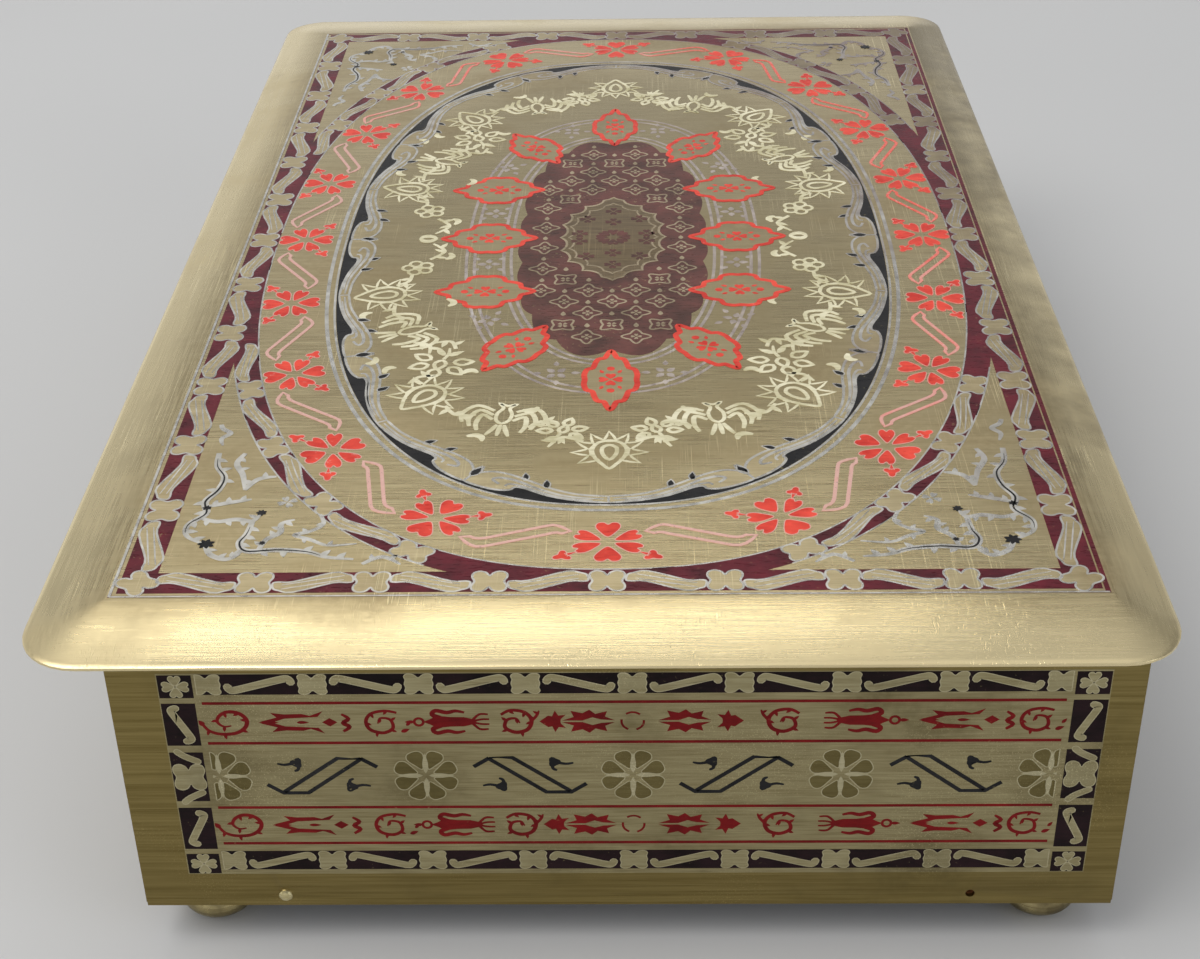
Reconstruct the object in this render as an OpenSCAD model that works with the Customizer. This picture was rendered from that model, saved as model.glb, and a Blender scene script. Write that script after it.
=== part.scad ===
// Hinged trinket box: a cedar tray clad in etched and enamelled brass plates, on four bun feet,
// with a dished brass lid on two butt hinges.
// The origin is on the table, under the middle of the lid. +X is the width, +Y goes back to the hinges.

/* [Body] */
// Width of the box over its side plates
body_w = 105; // [95:1:130]
// Depth of the box, front plate to back plate
body_d = 180; // [150:1:220]
// Height of the brass plates round the box
body_h = 36.2; // [32:0.1:50]
// Thickness of every brass plate
plate_t = 0.5; // [0.4:0.1:0.8]
// How far the side plates stand out past the front and back plates
plate_step = 0.25; // [0.1:0.05:0.4]
// Thickness of the cedar walls
wall_t = 4; // [3.5:0.5:5]
// Thickness of the base board
base_t = 3; // [2.5:0.5:4]
// Thickness of the felt under the base
felt_t = 0.5; // [0.4:0.1:0.8]

/* [Feet] */
// Height of a bun foot
foot_h = 5.2; // [4.5:0.1:7]
// Radius of a bun foot
foot_r = 4.3; // [3.5:0.1:5]
// Distance of a foot's axis from the two nearest faces of the box
foot_inset = 6.6; // [6:0.1:9]

/* [Lid] */
// How far the lid reaches past the box, when it sits in the middle
overhang = 5; // [4:0.5:6]
// How far the lid was fitted to the left of the box's middle
lid_offset = 2.5; // [-2.5:0.1:2.5]
// How far the panel lies to the right of the lid's middle
panel_offset = 0.8; // [-0.8:0.1:0.8]
// Height of the lid's panel above the brass plates
lid_rise = 1.3; // [1.3:0.05:1.6]
// Width of the plain rim in front of and behind the flat panel
rim_y = 9.85; // [8:0.05:11]
// Width of the plain rim beside the flat panel
rim_x = 6.75; // [6:0.05:8]
// How far the rim curves down from the panel to its edge
rim_drop = 1.2; // [1:0.1:1.4]
// Radius of the lid's corners
corner_r = 6.5; // [5:0.5:8]
// Thickness of the cedar board inside the lid
board_t = 3; // [2.5:0.5:4]
// Gap between the lid's board and the cedar walls
board_gap = 0.7; // [0.6:0.1:1]

/* [Hinges] */
// Length of a hinge along the back of the box
hinge_w = 20; // [16:1:26]
// Distance of each hinge's middle from the middle of the box
hinge_x = 28; // [22:1:34]
// Outer radius of the knuckles
knuckle_r = 1; // [0.9:0.05:1]
// Radius of the hinge pin
pin_r = 0.47; // [0.4:0.01:0.48]
// Height of the leaf on the box
leaf_h = 8.5; // [7:0.5:10]
// Thickness of a hinge leaf
leaf_t = 0.5; // [0.4:0.1:0.6]

/* [Decoration] */
// Height that the enamel stands above the brass
enamel_t = 0.05; // [0.03:0.01:0.08]
// Plain margin between a plate's edges and its etched frame
frame_margin = 4.7; // [4:0.1:6]
// Width of the dark frame band on a side plate
frame_band = 3.2; // [2.5:0.1:4]
// Width of the maroon band round the lid's panel
lid_band = 3.6; // [2.5:0.1:3.6]
// Half width and half depth of the maroon oval on the lid
oval = [49.2, 83.6]; // [48:0.1:84]
// Half width and half depth of the black oval on the lid
ring = [36.6, 68]; // [30:0.1:70]
// Half width and half depth of the maroon field in the middle of the lid
medallion = [11.5, 33]; // [8:0.5:36]

/* [Hidden] */
$fn = 48;
eps = 0.01;
slip = 0.05;                 // clearance round a pin in its hole
body_z = foot_h + felt_t;    // underside of the base board and of the plates
top_z = body_z + body_h;     // top edge of the brass plates
wall_h = body_h - 0.2;       // the cedar stops just below the brass
lid_w = body_w + 2 * overhang;
lid_d = body_d + 2 * overhang;
panel_w = lid_w - 2 * rim_x;
panel_d = lid_d - 2 * rim_y;
panel_z = top_z + lid_rise;  // top of the flat panel
under_z = panel_z - plate_t; // underside of the flat panel
front_w = body_w - 2 * plate_step;
wood_w = body_w - 2 * plate_t;
wood_d = body_d - 2 * plate_t;
in_w = wood_w - 2 * wall_t;
in_d = wood_d - 2 * wall_t;
rabbet = 2;                  // depth of the corner and base rabbets
board_w = in_w - 2 * board_gap;
board_d = in_d - 2 * board_gap;
axis_y = body_d / 2 + 0.3 + knuckle_r;
axis_z = under_z - 0.9 - knuckle_r;
knuckle_w = 6;               // length of each outer knuckle
knuckle_gap = 0.2;           // end play between knuckles
leaf_in = 8;                 // how far the lid leaf runs in over the board
nail_r = 0.45;               // shank of a brass escutcheon pin
nail_head = 0.8;
nail_l = 4;
nail_z = 1.5;                // height of the nails above the plates' lower edge
nail_in = 15.5;              // distance of the nails from the box's corners
leaf_nail_xs = [-7, 0, 7];   // nails of a hinge leaf, from its middle
leaf_nail_z = axis_z - 6;
stud_r = 0.9;
stud_in = 2.4;               // depth of a foot stud in the foot and in the board
frame_line = 0.4;            // width of the line round the lid's panel
frame_gap = 1.5;             // from the panel's edge to its maroon band
rosettes = 20;
oval_power = 2.35;
rim_steps = 6;
corner_steps = 8;
rim_curve = 1.4;             // exponent of the rim's fall: 1 is a flat slope
sides = ["left", "right"];
foot_places = [["front_left", -1, -1], ["front_right", 1, -1], ["back_left", -1, 1], ["back_right", 1, 1]];
plate_places = ["front", "back", "left", "right"];

// Colours
brass = [0.62, 0.55, 0.33];
bright_brass = [0.75, 0.67, 0.42];
cedar = [0.55, 0.33, 0.2];
felt = [0.1, 0.09, 0.09];
dark_enamel = [0.12, 0.05, 0.08];
maroon_enamel = [0.35, 0.07, 0.1];
red_enamel = [0.8, 0.12, 0.08];

// A block centred on X and Y, standing on z = 0
module block(w, d, h) {
    translate([-w / 2, -d / 2, 0]) cube([w, d, h]);
}

// The box's middle is to the right of the lid's
module on_box() {
    translate([lid_offset, 0, 0]) children();
}

// A flat rectangular frame of a given band width
module band(w, d, t) {
    difference() {
        square([w, d], center = true);
        square([w - 2 * t, d - 2 * t], center = true);
    }
}

// Points of an oval that is a little squarer than an ellipse
function oval_points(half, n = 72) = [for (i = [0:n - 1]) let (c = cos(i * 360 / n), s = sin(i * 360 / n))
    [half[0] * sign(c) * pow(abs(c), 2 / oval_power), half[1] * sign(s) * pow(abs(s), 2 / oval_power)]];

// Stands a flat shape, drawn with its middle at half the plate's height, on one of the four outer faces
module on_face(place) {
    turn = place == "front" ? 0 : place == "back" ? 180 : place == "left" ? -90 : 90;
    reach = (place == "front" || place == "back") ? body_d / 2 : body_w / 2;
    translate([0, 0, body_z]) rotate([0, 0, turn]) translate([0, -reach, 0]) children();
}

function is_end(place) = place == "front" || place == "back";
function face_w(place) = is_end(place) ? front_w : body_d - 2 * plate_t;

// Positions of the nails along a face, from its middle. The front plate has lost its right nail.
function nail_xs(place) = is_end(place) ? [-body_w / 2 + nail_in, body_w / 2 - nail_in]
                                        : [-body_d / 2 + nail_in, 0, body_d / 2 - nail_in];

module nail_holes(place, r) {
    for (x = nail_xs(place))
        on_face(place) translate([x, -1, nail_z]) rotate([-90, 0, 0]) cylinder(h = nail_l + 2, r = r);
}

// The hinges' notches in the top of the back plate and back wall
module hinge_notches() {
    for (s = [-1, 1])
        translate([s * hinge_x, body_d / 2 - wall_t, axis_z + 0.35])
            block(hinge_w + 0.6, 4 * wall_t, body_h);
}

module plate(place) {
    w = face_w(place);
    color(brass) on_box() difference() {
        on_face(place) translate([-w / 2, 0, 0]) cube([w, plate_t, body_h]);
        nail_holes(place, nail_r + slip);
        if (place == "back") {
            hinge_notches();
            box_leaf_nails(nail_r + slip);
        }
    }
}

// A cedar wall. The side walls are rabbeted at their ends to take the front and back walls.
module wall(place) {
    w = is_end(place) ? wood_w - 2 * rabbet : wood_d;
    color(cedar) on_box() difference() {
        on_face(place) translate([-w / 2, plate_t, 0]) cube([w, wall_t, wall_h]);
        if (!is_end(place))
            for (y = [-1, 1]) translate([0, y * (wood_d / 2 - wall_t / 2), body_z - eps])
                block(wood_w - 2 * rabbet, wall_t + eps, body_h);
        translate([0, 0, body_z - eps]) block(in_w + 2 * rabbet, in_d + 2 * rabbet, base_t + eps);
        nail_holes(place, nail_r + slip);
        if (place == "back") {
            hinge_notches();
            box_leaf_nails(nail_r + slip);
        }
    }
}

module base_board() {
    color(cedar) on_box() difference() {
        translate([0, 0, body_z]) block(in_w + 2 * rabbet - 0.2, in_d + 2 * rabbet - 0.2, base_t);
        foot_axes() cylinder(h = body_z + stud_in, r = stud_r + slip);
        for (place = plate_places) nail_holes(place, nail_r + slip);
    }
}

module base_felt() {
    color(felt) on_box() difference() {
        translate([0, 0, body_z - felt_t]) block(wood_w - 1, wood_d - 1, felt_t);
        foot_axes() cylinder(h = 2 * foot_h, r = stud_r + slip);
    }
}

// One brass nail at each place, its head on the outside of the plate
module cladding_nails() {
    color(bright_brass) on_box() for (place = plate_places)
        for (x = nail_xs(place)) if (!(place == "front" && x > 0))
            on_face(place) translate([x, 0, nail_z]) rotate([-90, 0, 0]) nail(nail_head);
}

// A nail along +Z, with its domed head below z = 0
module nail(head_r, length = nail_l) {
    cylinder(h = length - 0.3, r = nail_r);
    rotate_extrude() polygon(concat([[0, 0]],
        [for (i = [0:4]) [head_r * cos(i * 22.5), -0.45 * sin(i * 22.5)]]));
}

module foot_axes() {
    for (f = foot_places)
        translate([f[1] * (body_w / 2 - foot_inset), f[2] * (body_d / 2 - foot_inset), 0]) children();
}

// A turned bun foot: a flattened ball with a small flat below and a collar against the felt
module foot(sx, sy) {
    bun_h = foot_h - 0.6;
    color(brass) on_box() translate([sx * (body_w / 2 - foot_inset), sy * (body_d / 2 - foot_inset), 0])
        difference() {
            rotate_extrude() polygon(concat([[0, 0]],
                [for (a = [-65:13:65]) [foot_r * cos(a), bun_h / 2 * (1 + sin(a) / sin(65))]],
                [[2.6, bun_h], [2.6, foot_h], [0, foot_h]]));
            translate([0, 0, foot_h - stud_in]) cylinder(h = stud_in + 1, r = stud_r + slip);
        }
}

module foot_studs() {
    color(bright_brass) on_box() foot_axes()
        translate([0, 0, foot_h - stud_in + slip]) cylinder(h = 2 * stud_in + felt_t - 2 * slip, r = stud_r);
}

// Outline of a rounded rectangle that shrinks from the lid's edge (t = 1) to the panel (t = 0)
function rim_point(i, t) =
    let (n = 4 * (corner_steps + 1), quarter = floor(i / (corner_steps + 1)),
         a = quarter * 90 + (i % (corner_steps + 1)) * 90 / corner_steps,
         sx = (quarter == 0 || quarter == 3) ? 1 : -1,
         sy = quarter < 2 ? 1 : -1,
         r = corner_r * t + 0.05,
         w = panel_w / 2 + rim_x * t - r,
         d = panel_d / 2 + rim_y * t - r)
    [sx * w + r * cos(a) + panel_offset * (1 - t), sy * d + r * sin(a)];
function rim_z(t) = -rim_drop * pow(t, rim_curve);

// The pressed lid sheet: flat panel and curved-down rim, as one thin closed shell
module lid_plate() {
    n = 4 * (corner_steps + 1);
    ring_at = [for (k = [0:rim_steps]) k / rim_steps];
    points = concat(
        [for (t = ring_at, i = [0:n - 1]) concat(rim_point(i, t), [panel_z + rim_z(t)])],
        [for (t = ring_at, i = [0:n - 1]) concat(rim_point(i, t), [under_z + rim_z(t)])]);
    m = n * (rim_steps + 1);
    faces = concat(
        [[for (i = [n - 1:-1:0]) i]],
        [[for (i = [0:n - 1]) m + i]],
        [for (k = [0:rim_steps - 1], i = [0:n - 1])
            let (j = (i + 1) % n) [k * n + i, k * n + j, (k + 1) * n + j, (k + 1) * n + i]],
        [for (k = [0:rim_steps - 1], i = [0:n - 1])
            let (j = (i + 1) % n) [m + k * n + j, m + k * n + i, m + (k + 1) * n + i, m + (k + 1) * n + j]],
        [for (i = [0:n - 1]) let (j = (i + 1) % n, k = rim_steps * n)
            [k + i, k + j, m + k + j, m + k + i]]);
    color(brass) polyhedron(points, faces, convexity = 4);
}

module lid_board() {
    color(cedar) on_box() difference() {
        translate([0, 0, under_z - board_t]) block(board_w, board_d, board_t);
        for (s = [-1, 1])
            translate([s * hinge_x, board_d / 2, under_z - leaf_t - 0.1])
                block(hinge_w + 0.4, 2 * leaf_in - 0.4, 2);
        lid_leaf_nail_axes() cylinder(h = board_t, r = nail_r + slip);
    }
}

module lid_leaf_nail_axes() {
    for (s = [-1, 1], x = [-6, 6])
        translate([s * hinge_x + x, board_d / 2 - leaf_in / 2, under_z - board_t + 0.3]) children();
}

module lid_leaf_nails() {
    color(bright_brass) on_box() lid_leaf_nail_axes() cylinder(h = board_t - 0.35, r = nail_r);
}

// Knuckles of one hinge along X, from a list of [start, length]
module knuckles(spans) {
    for (k = spans) translate([k[0], axis_y, axis_z]) rotate([0, 90, 0]) cylinder(h = k[1], r = knuckle_r);
}

function outer_spans() = [[-hinge_w / 2, knuckle_w], [hinge_w / 2 - knuckle_w, knuckle_w]];
function inner_spans() = [[-hinge_w / 2 + knuckle_w + knuckle_gap, hinge_w - 2 * knuckle_w - 2 * knuckle_gap]];

// Room round the other leaf's knuckles
module knuckle_room(spans) {
    r = knuckle_r + 0.2;
    for (k = spans)
        translate([k[0] - knuckle_gap, axis_y - 2 * r, axis_z - r]) cube([k[1] + 2 * knuckle_gap, 4 * r, 4 * r]);
}

module pin_bore() {
    translate([-hinge_w, axis_y, axis_z]) rotate([0, 90, 0]) cylinder(h = 2 * hinge_w, r = pin_r + 0.03);
}

module box_leaf_nails(r) {
    for (s = [-1, 1], x = leaf_nail_xs)
        translate([s * hinge_x + x, body_d / 2 + 1, leaf_nail_z]) rotate([90, 0, 0]) cylinder(h = nail_l + 0.6, r = r);
}

// The leaf nailed to the back of the box, with the two outer knuckles
module hinge_box_leaf(s) {
    color(bright_brass) on_box() difference() {
        union() {
            translate([s * hinge_x, 0, 0]) knuckles(outer_spans());
            translate([s * hinge_x - hinge_w / 2, body_d / 2, axis_z - leaf_h])
                cube([hinge_w, leaf_t, leaf_h]);
        }
        translate([s * hinge_x, 0, 0]) {
            knuckle_room(inner_spans());
            pin_bore();
        }
        box_leaf_nails(nail_r + slip);
    }
}

// The leaf under the lid's rim, let in between the lid sheet and its board, with the middle knuckle
module hinge_lid_leaf(s) {
    top = under_z - 0.05;
    bend = body_d / 2 - wall_t - plate_t - 0.3;
    tip = board_d / 2 - leaf_in + 0.4;
    color(bright_brass) on_box() difference() {
        union() {
            translate([s * hinge_x, 0, 0]) knuckles(inner_spans());
            translate([s * hinge_x - hinge_w / 2, 0, 0]) rotate([90, 0, 90]) linear_extrude(hinge_w) polygon([
                [axis_y, axis_z + knuckle_r], [bend, top], [tip, top],
                [tip, top - leaf_t], [bend, top - leaf_t], [axis_y, axis_z + knuckle_r - leaf_t]]);
        }
        translate([s * hinge_x, 0, 0]) {
            knuckle_room(outer_spans());
            pin_bore();
        }
        lid_leaf_nail_axes() cylinder(h = board_t, r = nail_r + slip);
    }
}

module hinge_pin(s) {
    color(bright_brass) on_box() translate([s * hinge_x - hinge_w / 2, axis_y, axis_z])
        rotate([0, 90, 0]) cylinder(h = hinge_w, r = pin_r);
}

module hinge_leaf_nails() {
    color(bright_brass) on_box() for (s = [-1, 1], x = leaf_nail_xs)
        translate([s * hinge_x + x, body_d / 2 + leaf_t, leaf_nail_z]) rotate([90, 0, 0]) nail(0.75);
}

// Enamel on a plate, drawn flat about the plate's middle. The back's leaves room for the hinges.
module plate_enamel(place) {
    on_face(place) translate([0, 0, body_h / 2]) rotate([90, 0, 0]) linear_extrude(enamel_t) difference() {
        children();
        if (place == "back")
            for (s = [-1, 1]) translate([s * hinge_x, body_h / 2]) square([hinge_w + 1, 2 * leaf_h + 4], center = true);
    }
}

// A dark band round the plate's etched field
module dark_enamel(place) {
    color(dark_enamel) on_box() plate_enamel(place)
        band(face_w(place) - 2 * frame_margin, body_h - 2 * frame_margin, frame_band);
}

// The two red lines above and below each frieze
module red_enamel(place) {
    w = face_w(place) - 2 * frame_margin - 2 * frame_band - 1.6;
    color(red_enamel) on_box() plate_enamel(place)
        for (z = [-9.2, -4.1, 4.1, 9.2]) translate([0, z]) square([w, 0.35], center = true);
}

module lid_enamel() {
    translate([panel_offset, 0, panel_z]) linear_extrude(enamel_t) children();
}

module oval_band(outer, t) {
    difference() {
        polygon(oval_points(outer));
        polygon(oval_points([outer[0] - t, outer[1] - t]));
    }
}

// A thin line round the panel, and the border and oval bands inside it
module lid_frame_enamel() {
    color(maroon_enamel) lid_enamel() {
        band(panel_w, panel_d, frame_line);
        band(panel_w - 2 * frame_gap, panel_d - 2 * frame_gap, lid_band);
        oval_band(oval, 0.85 * lid_band);
    }
}

module lid_black_enamel() {
    color(dark_enamel) lid_enamel() oval_band(ring, 3.5);
}

// Red rosettes round the black oval
module lid_red_enamel() {
    path = [ring[0] + 5.7, ring[1] + 7.3];
    color(red_enamel) lid_enamel() for (p = oval_points(path, rosettes)) translate(p) circle(r = 3);
}

module lid_medallion_enamel() {
    color(maroon_enamel) lid_enamel() polygon(oval_points(medallion));
}

base_board();
base_felt();
cladding_nails();
foot_studs();
lid_plate();
lid_board();
lid_frame_enamel();
lid_black_enamel();
lid_red_enamel();
lid_medallion_enamel();
hinge_leaf_nails();
lid_leaf_nails();
for (p = plate_places) {
    wall(p);
    plate(p);
    dark_enamel(p);
    red_enamel(p);
}
for (f = foot_places)
    foot(f[1], f[2]);
for (i = [0, 1]) {
    s = [-1, 1][i];
    hinge_box_leaf(s);
    hinge_lid_leaf(s);
    hinge_pin(s);
}
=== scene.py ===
"""Looks of the hinged trinket box: etched and enamelled brass over cedar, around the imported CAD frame.

Ornament is drawn flat, in mm on a face of the box, with points as complex numbers x + iy,
and stands on the brass as thin closed shapes, one piece for each colour on each face.
"""
import cmath
import collections
import math

import bmesh
import bpy
from mathutils import Matrix, Vector


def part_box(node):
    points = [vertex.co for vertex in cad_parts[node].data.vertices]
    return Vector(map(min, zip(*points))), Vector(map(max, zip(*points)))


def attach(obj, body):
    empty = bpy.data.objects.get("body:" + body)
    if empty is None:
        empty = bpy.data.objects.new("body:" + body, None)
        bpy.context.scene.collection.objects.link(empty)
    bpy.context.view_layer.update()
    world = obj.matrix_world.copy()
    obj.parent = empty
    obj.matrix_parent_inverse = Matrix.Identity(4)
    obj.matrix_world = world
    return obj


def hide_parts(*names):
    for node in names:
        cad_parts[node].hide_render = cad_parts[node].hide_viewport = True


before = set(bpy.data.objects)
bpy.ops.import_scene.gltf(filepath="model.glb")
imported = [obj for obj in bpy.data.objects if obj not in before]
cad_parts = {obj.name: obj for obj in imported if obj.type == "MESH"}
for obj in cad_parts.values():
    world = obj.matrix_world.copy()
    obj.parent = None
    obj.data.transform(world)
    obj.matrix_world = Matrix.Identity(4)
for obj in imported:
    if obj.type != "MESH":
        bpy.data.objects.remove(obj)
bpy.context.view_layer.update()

MM = 0.001
PLATES = ("front", "back", "left", "right")
# The body's faces and its middle line, in m
front_y, low_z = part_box("front_plate")[0][1:]
back_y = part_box("back_plate")[1][1]
left_x, right_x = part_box("left_plate")[0][0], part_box("right_plate")[1][0]
centre_x = (left_x + right_x) / 2

# Heights of the ornament's layers above the brass, and how deep its undersides are sunk in it, in mm
GROUND, UNDER, ISLAND, LINE, TOP = 0.010, 0.016, 0.024, 0.034, 0.044
SUNK = -0.05
# Shapes of one layer stand at slightly different heights, so that tops seldom coincide where shapes overlap
LIFT, LIFTS = 0.0005, 11

Shape = collections.namedtuple("Shape", "path width closed")


# ---------------------------------------------------------------- flat drawing

def point(p):
    return complex(*p) if isinstance(p, tuple) else complex(p)


def curve(points, steps=5, closed=False):
    """A smooth path through the points."""
    pts = [point(p) for p in points]
    n = len(pts)
    out = []
    for i in range(n if closed else n - 1):
        if closed:
            a, b, c, d = pts[i - 1], pts[i], pts[(i + 1) % n], pts[(i + 2) % n]
        else:
            a, b, c, d = pts[max(i - 1, 0)], pts[i], pts[i + 1], pts[min(i + 2, n - 1)]
        for k in range(steps):
            t = k / steps
            out.append(b + (c - a) * t / 2 + (2 * a - 5 * b + 4 * c - d) * t * t / 2
                       + (3 * b - a - 3 * c + d) * t ** 3 / 2)
    return out if closed else out + [pts[-1]]


def arcs(points, bulge, steps=6):
    """A closed outline with an arc that bulges outwards between each two points, in anticlockwise order."""
    pts = [point(p) for p in points]
    out = []
    for a, b in zip(pts, pts[1:] + pts[:1]):
        for k in range(steps):
            t = k / steps
            out.append(a + (b - a) * t - 1j * (b - a) * bulge * math.sin(math.pi * t))
    return out


def mirror_all(points):
    """A closed outline from its first quarter, from the +x axis to the +y axis."""
    q = [point(p) for p in points]
    left = [-p.conjugate() for p in q[::-1] if p.real > 0]
    below_right = [p.conjugate() for p in q[::-1] if p.real > 0 and p.imag > 0]
    return q + left + [-p for p in q if p.imag > 0] + below_right


def polar(radius, steps):
    """A closed outline whose radius is a function of the angle."""
    return [cmath.rect(radius(math.tau * k / steps), math.tau * k / steps) for k in range(steps)]


def box_outline(x0, y0, x1, y1):
    return [complex(x0, y0), complex(x1, y0), complex(x1, y1), complex(x0, y1)]


def filled(outline):
    return Shape([point(p) for p in outline], 0, True)


def drawn(path, width):
    """An open line. A width of three numbers is that at its start, middle and end."""
    return Shape([point(p) for p in path], width, False)


def ring(outline, width):
    return Shape([point(p) for p in outline], width, True)


def ribbon(path, width, steps=4):
    """The outline of a line with round ends."""
    left, right = [], []
    for i, p in enumerate(path):
        along = path[min(i + 1, len(path) - 1)] - path[max(i - 1, 0)]
        across = 1j * along / abs(along) * width / 2
        left.append(p + across)
        right.append(p - across)
    start, end = (left[0] - right[0]) / 2, (right[-1] - left[-1]) / 2
    cap_end = [path[-1] + end * cmath.exp(1j * math.pi * k / steps) for k in range(1, steps)]
    cap_start = [path[0] + start * cmath.exp(1j * math.pi * k / steps) for k in range(1, steps)]
    return right + cap_end + left[::-1] + cap_start


def moved(shapes, place=0, turn=0, size=1, flip=False):
    """The shapes mirrored in the x axis, scaled, turned in radians and put in place."""
    spin = size * cmath.exp(1j * turn)
    place = point(place)
    return [Shape([(p.conjugate() if flip else p) * spin + place for p in s.path], s.width, s.closed)
            for s in shapes]


def mirrored(shapes):
    """The shapes' mirror images across the y axis."""
    return [Shape([-p.conjugate() for p in s.path], s.width, s.closed) for s in shapes]


def both_sides(shapes):
    """The shapes and their mirror images across the y axis."""
    return shapes + mirrored(shapes)


def four_ways(shapes):
    """The shapes and their mirror images across both axes."""
    return both_sides(shapes) + moved(both_sides(shapes), flip=True)


def around(shapes, count, start=0.0):
    """Copies of the shapes, evenly spaced in a turn about 0."""
    return [s for k in range(count) for s in moved(shapes, turn=math.tau * k / count + start)]


def put(outline, place=0, turn=0):
    """A filled outline, turned in radians and put in place."""
    return moved([filled(outline)], place, turn)


def stroke(points, width, steps=4):
    """A smooth open line through the points."""
    return drawn(curve(points, steps), width)


def spaced(path, count):
    """A closed path as evenly spaced points."""
    loop = path + path[:1]
    reach = [0.0]
    for a, b in zip(loop, loop[1:]):
        reach.append(reach[-1] + abs(b - a))
    out, i = [], 0
    for k in range(count):
        want = reach[-1] * k / count
        while reach[i + 1] < want:
            i += 1
        out.append(loop[i] + (loop[i + 1] - loop[i]) * (want - reach[i]) / (reach[i + 1] - reach[i]))
    return out


def oval(half_x, half_y, steps=360, power=2.35):
    """An oval a little squarer than an ellipse, as evenly spaced points anticlockwise from +x."""
    def at(angle):
        c, s = math.cos(angle), math.sin(angle)
        return complex(math.copysign(half_x * abs(c) ** (2 / power), c),
                       math.copysign(half_y * abs(s) ** (2 / power), s))
    return spaced([at(math.tau * k / 2400) for k in range(2400)], steps)


class Track:
    """A closed anticlockwise line to lay shapes along, with its inside on the left."""

    def __init__(self, path, steps=1200):
        self.points = spaced(path, steps)
        self.length = sum(abs(b - a) for a, b in zip(self.points, self.points[1:] + self.points[:1]))

    def at(self, along):
        """The point and the direction at a distance along the line."""
        n = len(self.points)
        k = along / self.length * n
        i = math.floor(k)
        a, b = self.points[i % n], self.points[(i + 1) % n]
        ahead = self.points[(i + 3) % n] - self.points[(i - 2) % n]
        return a + (b - a) * (k - i), ahead / abs(ahead)

    def bend(self, shapes, along, flip=False):
        """The shapes, drawn along +x, bent to follow the line. A flip mirrors them end to end."""
        out = []
        for s in shapes:
            path = []
            for p in s.path:
                place, direction = self.at(along + (-p.real if flip else p.real))
                path.append(place + 1j * direction * p.imag)
            out.append(Shape(path, s.width, s.closed))
        return out


class Face:
    """A flat face of the box, with its middle and the directions of x and y on it."""

    def __init__(self, middle, across, up):
        self.middle, self.across, self.up = Vector(middle), Vector(across), Vector(up)
        self.normal = self.across.cross(self.up)

    def point(self, p, height):
        return self.middle + MM * (self.across * p.real + self.up * p.imag + self.normal * height)


class Inlay:
    """Thin shapes of one colour on one face, gathered into one mesh of closed solids."""

    def __init__(self, name, face):
        self.name, self.face = name, face
        self.verts, self.faces = [], []
        self.drawn = 0

    def draw(self, shapes, level):
        for s in shapes:
            self.drawn += 1
            height = level + LIFT * (7 * self.drawn % LIFTS)
            if s.width:
                self.line(s, height)
            else:
                self.fill(s.path, height)

    def fill(self, outline, level):
        turn = sum((a.conjugate() * b).imag for a, b in zip(outline, outline[1:] + outline[:1]))
        if turn < 0:
            outline = outline[::-1]
        n, first = len(outline), len(self.verts)
        for height in (level, SUNK):
            self.verts += [self.face.point(p, height) for p in outline]
        self.faces.append(list(range(first, first + n)))
        self.faces.append(list(range(first + 2 * n - 1, first + n - 1, -1)))
        for i in range(n):
            j = (i + 1) % n
            self.faces.append((first + n + i, first + n + j, first + j, first + i))

    def line(self, shape, level):
        path, n = shape.path, len(shape.path)
        right, left = [], []
        for i, p in enumerate(path):
            before = path[i - 1] if shape.closed or i else p
            after = path[(i + 1) % n] if shape.closed or i < n - 1 else p
            width = line_width(shape.width, i / (n - 1))
            across = 1j * (after - before) / abs(after - before) * width / 2
            right.append(p - across)
            left.append(p + across)
        self.strip(right, left, level, shape.closed)

    def strip(self, right, left, level, closed=True):
        """The band between two lines of as many points, with its left line on the left of its right one."""
        n, first = len(right), len(self.verts)
        for a, b in zip(right, left):
            self.verts += [self.face.point(a, level), self.face.point(b, level),
                           self.face.point(b, SUNK), self.face.point(a, SUNK)]
        for i in range(n if closed else n - 1):
            a, b = first + 4 * i, first + 4 * ((i + 1) % n)
            for k in range(4):
                m = (k + 1) % 4
                self.faces.append((a + m, a + k, b + k, b + m))
        if not closed:
            last = first + 4 * (n - 1)
            self.faces.append((first, first + 1, first + 2, first + 3))
            self.faces.append((last + 3, last + 2, last + 1, last))

    def build(self, look, body, slot, nodes=()):
        piece = new_piece(self.name, self.verts, self.faces, look, body)
        if nodes:
            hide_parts(*nodes)


def line_width(width, t):
    if isinstance(width, tuple):
        start, middle, end = width
        return middle + (start - middle) * max(0, 1 - 2 * t) ** 2 + (end - middle) * max(0, 2 * t - 1) ** 2
    return width


def new_piece(name, verts, faces, look, body, smooth=False):
    mesh = bpy.data.meshes.new(name)
    mesh.from_pydata([tuple(v) for v in verts], [], faces)
    mesh.update()
    return finish_piece(name, mesh, look, body, smooth)


def finish_piece(name, mesh, look, body, smooth=False):
    for polygon in mesh.polygons:
        polygon.use_smooth = smooth
    mesh.materials.append(look)
    piece = bpy.data.objects.new(name, mesh)
    bpy.context.scene.collection.objects.link(piece)
    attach(piece, body)
    return piece


# ---------------------------------------------------------------- motifs, in mm

def leaf(length, width, bend=0.0):
    """A pointed leaf from 0 along +x."""
    def side(sign):
        return [complex(length * t, sign * width / 2 * math.sin(math.pi * t ** 0.75) + bend * length * t * t)
                for t in (0, 0.12, 0.3, 0.5, 0.7, 0.88)]
    return side(-1) + [complex(length, bend * length)] + side(1)[:0:-1]


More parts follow.
